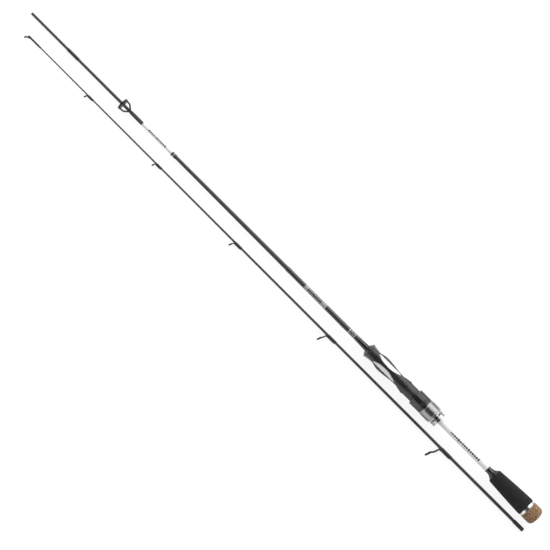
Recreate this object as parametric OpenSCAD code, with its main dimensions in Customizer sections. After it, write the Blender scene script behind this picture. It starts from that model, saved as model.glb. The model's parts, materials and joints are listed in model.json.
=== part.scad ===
// Two-piece spinning rod, lying on a flat surface with its tip section beside its butt section.
// +X runs from the butt towards the tip and +Z is up. Each section is drawn in its own frame, where
// x is measured from the section's rear end and z from the centre line of its blank.

/* [Butt blank] */
// Length of the butt section, from the end of the cap to the end of the ferrule
butt_length = 1021.7; // [900:0.1:1200]
// Radius of the blank at its butt
butt_r = 5.0; // [4.6:0.05:5.2]
// Radius of the straight male ferrule
ferrule_r = 1.95; // [1.8:0.05:2.2]
// Length of the straight male ferrule
ferrule_length = 70; // [50:1:90]
// Wall of the butt blank
butt_wall = 0.9; // [0.6:0.05:1.1]
// How deep the blank sits in the butt cap
blank_seat_depth = 13.3; // [8:0.1:14]

/* [Handle] */
// Length of the cork butt cap
cap_length = 19.3; // [16:0.1:30]
// Radius of the cork butt cap
cap_r = 13.9; // [12:0.1:16]
// Radius of the round on the rear edge of the cap
cap_round = 7; // [3:0.5:9]
// Length of the metal ring between cap and grip
grip_ring_length = 4.3; // [2:0.1:8]
// Radius of that ring
grip_ring_r = 13.3; // [12:0.1:15]
// Length of the foam grip
grip_length = 61.5; // [45:0.5:110]
// Radius of the foam grip at its thick rear end
grip_rear_r = 14.1; // [12:0.1:16]
// Radius of the foam grip at its front end
grip_front_r = 10.6; // [9.6:0.1:12]
// Radius of the small round on both ends of the grip
grip_round = 1.2; // [0.5:0.1:2]
// Length of the tapered check in front of the grip
check_length = 16.4; // [10:0.1:24]
// Radius of that check where it meets the grip
check_rear_r = 9.3; // [7:0.1:9.5]
// Thickness of the lip at the front of that check
check_lip = 0.5; // [0.4:0.05:1]
// Bare painted blank between that check and the reel seat
bare_length = 96.5; // [60:0.5:160]

/* [Reel seat] */
// Length of the threaded barrel, up to its shoulder
barrel_length = 65.8; // [60:0.1:90]
// Radius of the barrel
barrel_r = 10.3; // [9:0.05:11]
// Radius of the shoulder that stops the hood
shoulder_r = 11.1; // [10.8:0.1:12]
// Length of the saddle, from the shoulder to the front hood
saddle_length = 64.4; // [50:0.1:80]
// Radius of the saddle at its waist
waist_r = 8.6; // [8.2:0.1:9.5]
// Radius of the saddle at its palm swell
swell_r = 11.4; // [10:0.1:12]
// Half width of the spine at its narrowest
spine_half_width = 2.1; // [1.5:0.1:3.5]
// How far out from the axis each side panel reaches
panel_reach = 8.1; // [6:0.1:9]
// Least width of the rim left outside each side panel
rim_width = 0.9; // [0.6:0.1:1.4]
// Thickness of the side panels
panel_thickness = 1.6; // [1:0.1:2]
// Length of the front hood
front_hood_length = 16.4; // [14:0.1:24]
// Radius of the front hood at its widest
front_hood_r = 11.2; // [10:0.1:12.5]
// Radial room between the blank's butt and the bore through the seat, which the arbors fill
arbor_wall = 0.6; // [0.4:0.05:1]
// Height of the inside of both hoods above the reel foot's line
pocket_height = 4.8; // [4.5:0.1:6]
// Width of the inside of both hoods
pocket_width = 15; // [13:0.5:17]
// Thickness of the hoods over their pockets
hood_wall = 1.8; // [1.4:0.1:2.6]
// Depth of both pockets
pocket_depth = 9; // [7:0.5:9.5]

/* [Locking nut] */
// Length of the pierced ring behind the nut
nut_ring_length = 10; // [8:0.1:14]
// Number of openings round the pierced ring
nut_ring_holes = 10; // [6:1:12]
// Length of the nut
nut_length = 18.7; // [15:0.1:26]
// Radius of the nut
nut_r = 13.3; // [12.9:0.1:15]
// Number of grip flutes round the nut
nut_flutes = 30; // [16:2:48]
// Length of the moving hood
hood_length = 20.7; // [18:0.1:26]
// How much smaller the moving hood is than the nut, on the radius
hood_step = 0.5; // [0.3:0.1:0.6]
// Radial running clearance of nut and hood on the barrel
barrel_clearance = 0.05; // [0.03:0.01:0.08]
// Gap between parts that turn or slide past each other
running_gap = 0.3; // [0.2:0.05:0.35]
// Width of the keyway under the barrel
keyway_width = 3; // [2:0.1:4]
// Depth of that keyway
keyway_depth = 1.1; // [0.8:0.1:1.4]

/* [Fore end] */
// Length of the small check in front of the reel seat
fore_check_length = 16.4; // [10:0.1:24]
// Length of the lacquered wrap in front of that check
label_wrap_length = 138; // [100:1:180]
// Distance from the small check to the first trim band
trim_offset = 29; // [10:1:60]
// Length of the first trim band
trim_length = 4; // [2:0.5:8]
// Length of the trim band that ends the lacquered wrap
end_trim_length = 6.5; // [3:0.5:10]
// Distance from the double ring to the rear end of the ferrule
double_ring_setback = 221.7; // [200:0.1:320]
// Length of the double ring
double_ring_length = 8.6; // [6:0.1:12]
// Length of the wrap that stops the ferrule
stop_wrap_length = 22; // [12:1:30]
// Gap between that wrap and the ferrule
stop_wrap_gap = 2.7; // [1:0.1:6]

/* [Stripper guide] */
// Distance from the guide's legs to the rear end of the ferrule
stripper_setback = 127.7; // [60:0.1:150]
// Height of the ring's centre over the blank's centre line
stripper_height = 19; // [16:0.5:24]
// Outer radius of the frame's ring
stripper_ring_r = 9.1; // [8:0.1:10]
// Bore radius of the insert
stripper_bore_r = 6.4; // [5:0.1:6.5]
// How far the ring's centre stands in front of the foot
stripper_forward = 12.5; // [8:0.5:16]
// Forward lean of the ring
stripper_lean = 8; // [0:1:20]
// Length of the wrap over the foot
stripper_wrap_length = 26; // [20:1:32]

/* [Tip section] */
// Length of the tip section, from the mouth of its socket to the front of its tip-top
tip_length = 1003; // [900:1:1150]
// Radius of the tip blank at its socket
tip_base_r = 2.55; // [2.4:0.05:2.9]
// Radius of the tip blank at its end
tip_end_r = 0.75; // [0.6:0.05:0.9]
// Wall of the tip blank at its end
tip_wall = 0.35; // [0.25:0.05:0.4]
// Radial clearance of the socket on the male ferrule
socket_clearance = 0.03; // [0.02:0.01:0.05]
// Length of the wrap round the socket's mouth
socket_wrap_length = 19.3; // [12:0.1:30]
// How far the socket's mouth lies in front of the butt's rear end
tip_offset = 2.5; // [0:0.5:10]
// Distance between the two sections' axes
section_gap = 26.3; // [24:0.1:40]

/* [Tip guides] */
// Distance from the socket's mouth to the legs of the first guide
first_guide_x = 165; // [120:0.5:220]
// Distance from the legs of the last guide to the end of the tip-top
last_guide_setback = 124.5; // [80:0.5:160]
// Where each guide stands, as a share of the way from the first to the last
guide_spread = [0, 0.321, 0.583, 0.8066, 1]; // [0:0.0001:1]
// Reach of each guide from the blank's centre line
guide_reach = [23.3, 15.6, 9.4, 6.7, 6.0]; // [6:0.1:24]
// Outer radius of each guide's ring
guide_ring_r = [4.65, 3.75, 2.75, 2.25, 2.25]; // [2.2:0.05:4.7]
// Bore radius of each guide's insert
guide_bore_r = [3.0, 2.4, 1.7, 1.3, 1.3]; // [1.2:0.05:3.1]
// Length of each guide's wrap
guide_wrap_length = [20, 16, 13, 11, 11]; // [10:0.5:24]
// Forward lean of the guides' rings
guide_lean = 20; // [0:1:30]
// Length of the tube of the tip-top
tube_length = 20; // [12:0.5:26]
// Outer radius of the tip-top's ring
top_ring_r = 2.3; // [2:0.05:2.8]
// Bore radius of the tip-top's insert
top_bore_r = 1.3; // [1:0.05:1.5]
// Height of the tip-top's ring over the blank's centre line
top_height = 3.9; // [3.6:0.1:5]
// Forward lean of the tip-top's ring
top_lean = 25; // [0:1:35]

/* [Hidden] */
GUIDES = [for (i = [1:5]) i];

$fn = 72;
SIDES = [1, -1];
// Larger than anything that is cut or kept with it
LARGE = 60;
// How far a cut runs past the face it opens
past = 1;
// Film of glue between a blank and what is fixed on it
glue = 0.02;
// How much fuller a strut's ball is than its bar
ball_ratio = 1.06;

// Stations along the butt section
ring_x = cap_length;
grip_x = ring_x + grip_ring_length;
check_x = grip_x + grip_length;
bare_x = check_x + check_length;
seat_x = bare_x + bare_length;
nut_x = seat_x + nut_ring_length;
hood_x = nut_x + nut_length;
hood_r = nut_r - hood_step;
hood_front = hood_x + hood_length;
shoulder_x = seat_x + barrel_length;
mouth_x = shoulder_x + saddle_length;
seat_front = mouth_x + front_hood_length;
label_x = seat_front + fore_check_length;
label_end = label_x + label_wrap_length;
trim_x = label_x + trim_offset;
ferrule_x = butt_length - ferrule_length;
double_ring_x = ferrule_x - double_ring_setback;
stripper_x = ferrule_x - stripper_setback;
stop_wrap_x = ferrule_x - stop_wrap_gap - stop_wrap_length;

// Reel seat
seat_bore_r = butt_r + arbor_wall;
barrel_x = seat_x + 0.5;
shoulder_ramp = 1.5;
shoulder_step = 0.4;
waist_x = shoulder_x + 0.235 * saddle_length;
swell_x = shoulder_x + 0.765 * saddle_length;
spine_x = shoulder_x + 0.6 * saddle_length;
spine_round_r = 11.6;
mouth_r = 8.9;
foot_line = barrel_r + 0.2;
facet_tilt = 35;
facet_height = 8.8;
panel_floor = 2.2;
spine_sharpness = 3;
spine_stations = 24;
saddle_stations = 20;
panel_edge = 0.1;
panel_first = 7;
panel_last = 23;
pocket_round = 4.6;
pocket_step = 0.3;
pocket_top = foot_line + pocket_height;
hood_outer_width = pocket_width + 2 * hood_wall;
hood_top = pocket_top + hood_wall;
arbor_length = 12;
arbor_x = [seat_x + 1, shoulder_x - 8, mouth_x - 6];
nose_x = seat_front - 3;
core_overlap = 1;
neck_length = 5;
lip_length = 3.4;
key_clearance = 0.2;
nut_shell_wall = 1;
flute_r = 0.45;

// Guides
insert_seat = 1.0;
band_width = 1.6;
foot_height = 0.8;
foot_width = 2.0;
foot_nose = 1.9;
wire_r = 0.75;
stripper_wire_r = 1.1;
stripper_spread = 7.4;
wrap_skin = 0.35;
wrap_thickness = 0.6;
wrap_taper = 1.5;
sleeve_lip = 0.12;
tube_wall = 0.4;
socket_depth = ferrule_length + 4;
tip_blank_end = tip_length - 10;

// Tip guides
guide_x = [for (t = guide_spread) mix(first_guide_x, tip_length - last_guide_setback, t)];

// How the two sections lie: the butt section rests on its nut and on the end of its ferrule,
// so its axis falls towards the tip, and the tip section rests on its largest ring
nut_front = hood_x - running_gap;
butt_tilt = atan((nut_r - ferrule_r) / (butt_length - nut_front));
butt_height = nut_r * cos(butt_tilt) + nut_front * sin(butt_tilt);
tip_height = max(guide_ring_r);

// The origin is on the floor, under the middle of what both sections cover
length_low = -(cap_r - cap_round) * sin(butt_tilt);
length_high = max(butt_length * cos(butt_tilt) + ferrule_r * sin(butt_tilt), tip_offset + tip_length);
length_middle = (length_low + length_high) / 2;
side_low = -max(cap_r, grip_ring_r, grip_rear_r, nut_r, hood_r);
side_high = section_gap + max(guide_reach);
side_middle = (side_low + side_high) / 2;

function mix(a, b, t) = a + (b - a) * t;
function ease(a, b, t) = mix(a, b, (1 - cos(180 * t)) / 2);
function butt_radius(x) = x < ferrule_x ? mix(butt_r, ferrule_r, x / ferrule_x) : ferrule_r;
function butt_seat(x) = butt_radius(x) + glue;
function tip_seat(x) = tip_radius(x) + glue;
function tip_radius(x) = mix(tip_base_r, tip_end_r, x / tip_length);
function saddle_radius(x) =
    x < waist_x ? ease(shoulder_r, waist_r, (x - shoulder_x) / (waist_x - shoulder_x))
    : x < swell_x ? ease(waist_r, swell_r, (x - waist_x) / (swell_x - waist_x))
    : ease(swell_r, mouth_r, (x - swell_x) / (mouth_x - swell_x));
function spine_half(x) =
    x < spine_x ? ease(spine_half_width, shoulder_r, (spine_x - x) / (spine_x - shoulder_x))
    : mix(spine_half_width, mouth_r,
          pow((x - spine_x) / (mouth_x - spine_x), spine_sharpness));
function panel_outer(x) = min(panel_reach, saddle_radius(x) - rim_width);
function steps(a, b, n) = [for (i = [0:n]) mix(a, b, i / n)];
function reversed(list) = [for (i = [len(list) - 1:-1:0]) list[i]];

// Where the spine's outline has its points; the panels' inner edges share them
SPINE = steps(shoulder_x, mouth_x, spine_stations);

// Places a piece of the butt section, or of the tip section, as it lies
module lay_butt() {
    translate([-length_middle, -side_middle, butt_height])
        rotate([0, butt_tilt, 0])
            children();
}

module lay_tip() {
    translate([tip_offset - length_middle, section_gap - side_middle, tip_height])
        rotate([-90, 0, 0])
            children();
}

// A turned solid along X, from points of [radius, x]
module turned(points) {
    rotate([0, 90, 0])
        rotate_extrude()
            polygon(points);
}

module shaft(x0, x1, r) {
    translate([x0, 0, 0])
        rotate([0, 90, 0])
            cylinder(h = x1 - x0, r = r);
}

// A straight solid along X, from a cross-section of [y, z]
module section(x0, x1) {
    translate([x0, 0, 0])
        rotate([90, 0, 90])
            linear_extrude(x1 - x0)
                children();
}

// A round bar between two points, with a slightly fuller ball on its far end
module strut(a, b, r) {
    d = b - a;
    translate(a)
        rotate([0, acos(d[2] / norm(d)), atan2(d[1], d[0])])
            cylinder(h = norm(d), r = r, $fn = 24);
    translate(b)
        sphere(r = ball_ratio * r, $fn = 24);
}

// ---- Butt section ----

module butt_blank() {
    rear = cap_length - blank_seat_depth;
    color("#26272b")
        lay_butt()
            turned([
                [butt_radius(rear) - butt_wall, rear],
                [butt_radius(rear), rear],
                [butt_radius(ferrule_x), ferrule_x],
                [ferrule_r, butt_length],
                [ferrule_r - butt_wall, butt_length],
                [ferrule_r - butt_wall, ferrule_x]
            ]);
}

module butt_cap() {
    rear = cap_length - blank_seat_depth;
    color("#7b5a43")
        lay_butt()
            turned(concat(
                [[0, 0]],
                [for (a = [0:10:90]) [cap_r - cap_round * (1 - sin(a)), cap_round * (1 - cos(a))]],
                [[cap_r, cap_length], [butt_seat(cap_length), cap_length]],
                [[butt_seat(rear), rear], [0, rear]]
            ));
}

module grip_ring() {
    edge = 0.5;
    end_x = ring_x + grip_ring_length;
    color("#c9cdd2")
        lay_butt()
            turned([
                [butt_seat(ring_x), ring_x],
                [grip_ring_r - edge, ring_x],
                [grip_ring_r, ring_x + edge],
                [grip_ring_r, end_x - edge],
                [grip_ring_r - edge, end_x],
                [butt_seat(end_x), end_x]
            ]);
}

module rear_grip() {
    curve = 1.35;
    margin = 4;
    color("#2b2b2d")
        lay_butt()
            turned(concat(
                [[butt_seat(grip_x), grip_x]],
                [for (a = [0:15:90])
                    [grip_rear_r - grip_round * (1 - sin(a)), grip_x + grip_round * (1 - cos(a))]],
                [for (x = steps(grip_x + margin, check_x - margin, 12))
                    [mix(grip_rear_r, grip_front_r, pow((x - grip_x) / grip_length, curve)), x]],
                [for (a = [90:-15:0])
                    [grip_front_r - grip_round * (1 - sin(a)), check_x - grip_round * (1 - cos(a))]],
                [[butt_seat(check_x), check_x]]
            ));
}

module rear_check() {
    lip_width = 2;
    lip_edge = 0.4;
    rear_land = 0.6;
    lip_r = butt_radius(bare_x) + check_lip;
    neck_r = lip_r - 0.3;
    neck_x = bare_x - lip_width;
    color("#55585c")
        lay_butt()
            turned(concat(
                [[butt_seat(check_x), check_x]],
                [for (t = steps(0, 1, 10))
                    [ease(check_rear_r, neck_r, t), mix(check_x + rear_land, neck_x, t)]],
                [[lip_r, neck_x + lip_edge], [lip_r, bare_x], [butt_seat(bare_x), bare_x]]
            ));
}

// The round envelope of the saddle with its two facets, drawn in by an inset
module saddle_envelope(inset) {
    stations = steps(shoulder_x, mouth_x, saddle_stations);
    intersection() {
        turned(concat(
            [[0, shoulder_x]],
            [for (x = stations) [saddle_radius(x) - inset, x]],
            [[0, mouth_x]]
        ));
        rotate([-facet_tilt, 0, 0])
            facet_block(inset);
        rotate([facet_tilt, 0, 0])
            facet_block(inset);
    }
}

module facet_block(inset) {
    translate([shoulder_x - past, -LARGE / 2, facet_height - inset - LARGE])
        cube([saddle_length + 2 * past, LARGE, LARGE]);
}

// The leaf-shaped outline of one side panel, seen from above
module panel_outline(side) {
    inner = [for (i = [panel_first:panel_last]) [SPINE[i], side * spine_half(SPINE[i])]];
    outer = [for (p = inner) [p[0], side * max(panel_outer(p[0]), abs(p[1]) + panel_edge)]];
    polygon(concat(inner, reversed(outer)));
}

module panel_prism(side) {
    translate([0, 0, panel_floor])
        linear_extrude(shoulder_r)
            panel_outline(side);
}

module seat_panel(side) {
    color("#f2f1ee")
        lay_butt()
            difference() {
                intersection() {
                    panel_prism(side);
                    saddle_envelope(0);
                }
                saddle_envelope(panel_thickness);
            }
}

module seat_panel_left() {
    seat_panel(1);
}

module seat_panel_right() {
    seat_panel(-1);
}

// A flat-topped arch, as a cross-section of [y, z]: its top corners are round
module arch(width, bottom, top, round) {
    reach = width / 2 - round;
    for (side = SIDES)
        translate([side * reach, top - round])
            circle(r = round);
    translate([-reach, bottom])
        square([2 * reach, top - bottom]);
    translate([-width / 2, bottom])
        square([width, top - round - bottom]);
}

// The saddle: its envelope and the spine between the panels, with room for the panels
module saddle() {
    difference() {
        union() {
            saddle_envelope(0);
            intersection() {
                linear_extrude(foot_line)
                    polygon(concat(
                        [for (x = SPINE) [x, spine_half(x)]],
                        [for (x = reversed(SPINE)) [x, -spine_half(x)]]
                    ));
                shaft(shoulder_x, mouth_x, spine_round_r);
            }
        }
        difference() {
            for (side = SIDES)
                panel_prism(side);
            saddle_envelope(panel_thickness);
        }
    }
}

module front_hood() {
    nose_length = 4.3;
    nose_wall = 0.9;
    core_wall = 1;
    slope = 40;
    wide_x = seat_front - nose_length;
    turned([
        [0, mouth_x - core_overlap],
        [seat_bore_r + core_wall, mouth_x - core_overlap],
        [seat_bore_r + core_wall, mouth_x],
        [mouth_r, mouth_x],
        [front_hood_r, wide_x],
        [butt_radius(seat_front) + nose_wall, seat_front],
        [0, seat_front]
    ]);
    // The arch over the pocket, with its front sloped down
    difference() {
        section(mouth_x, wide_x + core_overlap)
            arch(hood_outer_width, 0, hood_top, pocket_round + hood_wall);
        translate([wide_x - 2, -LARGE / 2, hood_top])
            rotate([0, slope, 0])
                cube(LARGE);
    }
}

module reel_seat() {
    key_floor = barrel_r - keyway_depth;
    color("#1f1f21")
        lay_butt()
            difference() {
                union() {
                    turned([
                        [0, barrel_x],
                        [barrel_r, barrel_x],
                        [barrel_r, shoulder_x],
                        [shoulder_r, shoulder_x + shoulder_ramp],
                        [shoulder_r - shoulder_step, shoulder_x + 2 * shoulder_ramp],
                        [0, shoulder_x + 2 * shoulder_ramp]
                    ]);
                    saddle();
                    front_hood();
                }
                // The bore closes round the blank at the seat's nose
                turned([
                    [0, seat_x],
                    [seat_bore_r, seat_x],
                    [seat_bore_r, nose_x],
                    [butt_seat(nose_x), nose_x],
                    [butt_seat(seat_front + past), seat_front + past],
                    [0, seat_front + past]
                ]);
                // Room for the reel foot: nothing of the saddle stands above its line
                translate([shoulder_x, -LARGE / 2, foot_line])
                    cube([mouth_x - shoulder_x, LARGE, LARGE]);
                section(mouth_x - core_overlap, mouth_x + pocket_depth)
                    arch(pocket_width, foot_line - pocket_step, pocket_top, pocket_round);
                translate([seat_x, -keyway_width / 2, -barrel_r - past])
                    cube([barrel_length, keyway_width, past + barrel_r - key_floor]);
            }
}

module seat_arbors() {
    color("#8d8f88")
        lay_butt()
            for (x = arbor_x)
                turned([
                    [butt_seat(x), x],
                    [seat_bore_r - glue, x],
                    [seat_bore_r - glue, x + arbor_length],
                    [butt_seat(x + arbor_length), x + arbor_length]
                ]);
}

// The hood's neck snaps into the nut: a ridge on the neck turns in a groove behind the nut's lip
neck_wall = 0.9;
ridge_height = 0.55;
neck_r = barrel_r + neck_wall;
ridge_r = neck_r + ridge_height;
lip_x = hood_x - running_gap - lip_length;
ridge_front = lip_x - running_gap;
ridge_rear = hood_x - neck_length;
insert_r = nut_r - nut_shell_wall;

module moving_hood() {
    bore_r = barrel_r + barrel_clearance;
    key_bottom = barrel_r - keyway_depth + key_clearance;
    key_inset = 2;
    key_root = 0.5;
    rise_x = hood_x + 3;
    slope_run = 5;
    slope = 50;
    edge = 1;
    color("#1b1b1d")
        lay_butt() {
            difference() {
                union() {
                    turned([
                        [0, hood_x],
                        [hood_r - edge, hood_x],
                        [hood_r, hood_x + edge],
                        [hood_r, hood_front - edge],
                        [hood_r - edge, hood_front],
                        [0, hood_front]
                    ]);
                    difference() {
                        section(rise_x, hood_front)
                            arch(hood_outer_width, 0, hood_top, pocket_round + hood_wall);
                        translate([rise_x + slope_run, -LARGE / 2, hood_top])
                            rotate([0, slope - 180, 0])
                                cube(LARGE);
                    }
                    turned([
                        [0, ridge_rear],
                        [ridge_r, ridge_rear],
                        [ridge_r, ridge_front],
                        [neck_r, ridge_front],
                        [neck_r, hood_x + core_overlap],
                        [0, hood_x + core_overlap]
                    ]);
                }
                shaft(ridge_rear - past, hood_front + past, bore_r);
                section(hood_front - pocket_depth, hood_front + past)
                    arch(pocket_width, 0, pocket_top, pocket_round);
            }
            // The key that keeps the hood from turning
            translate([hood_x + key_inset, -keyway_width / 2 + key_clearance, -bore_r - key_root])
                cube([hood_length - 2 * key_inset, keyway_width - 2 * key_clearance,
                      key_root + bore_r - key_bottom]);
        }
}

module nut_shell() {
    edge = 0.6;
    flute_margin = 2.5;
    color("#9b9ea2")
        lay_butt()
            difference() {
                turned([
                    [insert_r, nut_x],
                    [nut_r - edge, nut_x],
                    [nut_r, nut_x + edge],
                    [nut_r, nut_front - edge],
                    [nut_r - edge, nut_front],
                    [insert_r, nut_front]
                ]);
                for (i = [0:nut_flutes - 1])
                    rotate([(i + 0.5) * 360 / nut_flutes, 0, 0])
                        translate([nut_x + flute_margin, 0, -nut_r])
                            rotate([0, 90, 0])
                                cylinder(h = nut_length - 2 * flute_margin, r = flute_r, $fn = 16);
            }
}

module nut_insert() {
    bore_r = barrel_r + barrel_clearance;
    groove_r = ridge_r + running_gap;
    lip_r = neck_r + running_gap;
    groove_x = ridge_rear - running_gap;
    color("#2a2a2c")
        lay_butt()
            turned([
                [bore_r, nut_x],
                [insert_r, nut_x],
                [insert_r, nut_front],
                [lip_r, nut_front],
                [lip_r, lip_x],
                [groove_r, lip_x],
                [groove_r, groove_x],
                [bore_r, groove_x]
            ]);
}

module nut_ring() {
    bore_r = barrel_r + barrel_clearance;
    wall = 0.85;
    flange_r = bore_r + 1.25;
    flange_length = 3;
    edge = 0.4;
    cone_length = 1;
    slot_w = 2.6;
    slot_x = seat_x + flange_length + (nut_ring_length - flange_length) / 2;
    slot_angle = 11;
    color("#d3d6d9")
        lay_butt()
            difference() {
                turned([
                    [bore_r, seat_x],
                    [flange_r - edge, seat_x],
                    [flange_r, seat_x + edge],
                    [flange_r, seat_x + flange_length - edge],
                    [bore_r + wall, seat_x + flange_length],
                    [bore_r + wall, nut_x - cone_length],
                    [insert_r, nut_x],
                    [bore_r, nut_x]
                ]);
                for (i = [0:nut_ring_holes - 1], side = [-1:1])
                    rotate([i * 360 / nut_ring_holes + side * slot_angle / 2, 0, 0])
                        translate([slot_x, 0, bore_r - past])
                            cylinder(h = wall + 2 * past, r = slot_w / 2, $fn = 24);
            }
}

// A sleeve on the butt blank, with tapered ends
module butt_sleeve(x0, x1, thickness, taper) {
    turned([
        [butt_seat(x0), x0],
        [butt_radius(x0) + sleeve_lip, x0],
        [butt_radius(x0) + thickness, x0 + taper],
        [butt_radius(x1) + thickness, x1 - taper],
        [butt_radius(x1) + sleeve_lip, x1],
        [butt_seat(x1), x1]
    ]);
}

module fore_check() {
    lip = 1.2;
    lip_edge = 0.3;
    rear_wall = 0.85;
    front_wall = 0.4;
    lip_wall = 0.6;
    color("#3a3b3e")
        lay_butt()
            turned([
                [butt_seat(seat_front), seat_front],
                [butt_radius(seat_front) + rear_wall, seat_front],
                [butt_radius(label_x) + front_wall, label_x - lip],
                [butt_radius(label_x) + lip_wall, label_x - lip + lip_edge],
                [butt_radius(label_x) + lip_wall, label_x],
                [butt_seat(label_x), label_x]
            ]);
}

module label_wrap() {
    thickness = 0.3;
    color("#2f3033")
        lay_butt()
            difference() {
                butt_sleeve(label_x, label_end, thickness, 2 * thickness);
                shaft(trim_x, trim_x + trim_length, butt_r + past);
            }
}

// Metal bands: one splits the lacquered wrap, one ends it, and two stand as a pair farther on
module trim_bands() {
    half = double_ring_length / 2;
    slit = 0.5;
    taper = 0.4;
    single = 0.55;
    double = 0.7;
    color("#b9bcc0")
        lay_butt() {
            butt_sleeve(trim_x, trim_x + trim_length, single, taper);
            butt_sleeve(label_end, label_end + end_trim_length, single, taper);
            butt_sleeve(double_ring_x, double_ring_x + half - slit, double, taper);
            butt_sleeve(double_ring_x + half + slit, double_ring_x + 2 * half, double, taper);
        }
}

module ferrule_stop_wrap() {
    color("#1d1d1f")
        lay_butt()
            butt_sleeve(stop_wrap_x, stop_wrap_x + stop_wrap_length, wrap_thickness, wrap_taper);
}

// ---- Guides ----

// Each guide is drawn with its foot's front end at the origin, the blank along X and its ring
// above the blank. The ring leans towards the tip.

module ring_place(forward, height, lean) {
    translate([forward, 0, height])
        rotate([0, 90 + lean, 0])
            children();
}

module band(outer_r, inner_r, width) {
    edge = 0.2 * width;
    rotate_extrude()
        polygon([
            [inner_r, -width / 2],
            [outer_r - edge, -width / 2],
            [outer_r, -width / 2 + edge],
            [outer_r, width / 2 - edge],
            [outer_r - edge, width / 2],
            [inner_r, width / 2]
        ]);
}

// A ceramic insert: its bore is a short true cylinder between two rounded lips
module insert(outer_r, bore_r, width) {
    lip = 0.35 * (outer_r - bore_r);
    rotate_extrude()
        polygon([
            [bore_r, -width / 4],
            [bore_r + lip, -width / 2],
            [outer_r, -width / 2],
            [outer_r, width / 2],
            [bore_r + lip, width / 2],
            [bore_r, width / 4]
        ]);
}

// Two legs from the sides of the ring to the front of the foot, bowed outwards on the way
module legs(ring_r, forward, height, spread, base, wire) {
    for (side = SIDES) {
        top = [forward, side * (ring_r - 1.2 * wire), height - 0.1 * ring_r];
        middle = [mix(foot_nose, forward, 0.45), side * spread, (base + height) / 2];
        root = [foot_nose - wire / 2, side * (foot_width - wire) / 2, base + foot_height / 2];
        strut(middle, top, wire);
        strut(root, middle, wire);
    }
}

// The foot lies on the blank under its wrap, and its nose stands in front of the wrap
module foot(length, base) {
    translate([-length, -foot_width / 2, base])
        cube([length + foot_nose, foot_width, foot_height]);
}

// The wrap over a foot, on a blank whose radii at its rear and front ends are given
module foot_wrap(length, rear_r, front_r) {
    outer_r = rear_r + foot_height + wrap_skin;
    difference() {
        turned([
            [rear_r, -length],
            [rear_r + sleeve_lip, -length],
            [outer_r, -length + 2 * wrap_taper],
            [outer_r, -wrap_taper],
            [front_r + wrap_skin, 0],
            [front_r, 0]
        ]);
        translate([-length - past, -foot_width / 2 - glue, 0])
            cube([length + past + foot_nose, foot_width + 2 * glue, rear_r + foot_height + 2 * glue]);
    }
}

stripper_band = 2.6;
stripper_insert = 3;
stripper_foot_inset = 3;

module stripper_frame() {
    rear_r = butt_seat(stripper_x - stripper_wrap_length);
    color("#2c2d30")
        lay_butt()
            translate([stripper_x, 0, 0])
                difference() {
                    union() {
                        ring_place(stripper_forward, stripper_height, stripper_lean)
                            band(stripper_ring_r, stripper_bore_r + insert_seat, stripper_band);
                        legs(stripper_ring_r, stripper_forward, stripper_height, stripper_spread,
                             rear_r + glue, stripper_wire_r);
                        foot(stripper_wrap_length - stripper_foot_inset, rear_r + glue);
                    }
                    turned([
                        [0, -stripper_wrap_length],
                        [rear_r, -stripper_wrap_length],
                        [rear_r, stripper_forward],
                        [0, stripper_forward]
                    ]);
                    ring_place(stripper_forward, stripper_height, stripper_lean)
                        cylinder(h = stripper_ring_r, r = stripper_bore_r + insert_seat, center = true);
                }
}

module stripper_ring() {
    color("#3c3e42")
        lay_butt()
            translate([stripper_x, 0, 0])
                ring_place(stripper_forward, stripper_height, stripper_lean)
                    insert(stripper_bore_r + insert_seat - glue, stripper_bore_r, stripper_insert);
}

module stripper_wrap() {
    color("#1d1d1f")
        lay_butt()
            translate([stripper_x, 0, 0])
                foot_wrap(stripper_wrap_length, butt_seat(stripper_x - stripper_wrap_length),
                          butt_seat(stripper_x));
}

// ---- Tip section ----

module tip_blank() {
    end_x = tip_blank_end;
    socket_r = ferrule_r + socket_clearance;
    socket_step = 0.25;
    bore_end_r = tip_radius(end_x) - tip_wall;
    color("#26272b")
        lay_tip()
            turned([
                [socket_r, 0],
                [tip_radius(0), 0],
                [tip_radius(end_x), end_x],
                [bore_end_r, end_x],
                [mix(tip_base_r - tip_wall, bore_end_r, 0.3), socket_depth + 0.25 * end_x],
                [socket_r - socket_step, socket_depth + 4 * socket_step],
                [socket_r, socket_depth]
            ]);
}

module tip_sleeve(x0, x1, thickness, taper) {
    turned([
        [tip_seat(x0), x0],
        [tip_radius(x0) + sleeve_lip, x0],
        [tip_radius(x0) + thickness, x0 + taper],
        [tip_radius(x1) + thickness, x1 - taper],
        [tip_radius(x1) + sleeve_lip, x1],
        [tip_seat(x1), x1]
    ]);
}

module socket_wrap() {
    color("#1d1d1f")
        lay_tip()
            tip_sleeve(0, socket_wrap_length, wrap_thickness, wrap_taper);
}

function guide_band(i) = band_width * mix(0.5, 1, guide_ring_r[i - 1] / guide_ring_r[0]);
function guide_height(i) =
    guide_reach[i - 1] - guide_ring_r[i - 1] * cos(guide_lean) - 0.3 * guide_band(i) * sin(guide_lean);
function guide_forward(i) = guide_height(i) * tan(guide_lean + 3) + wire_r;
function guide_rear_r(i) = tip_seat(guide_x[i - 1] - guide_wrap_length[i - 1]);
function insert_outer_r(i) = mix(guide_bore_r[i - 1], guide_ring_r[i - 1], 0.55);

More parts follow.
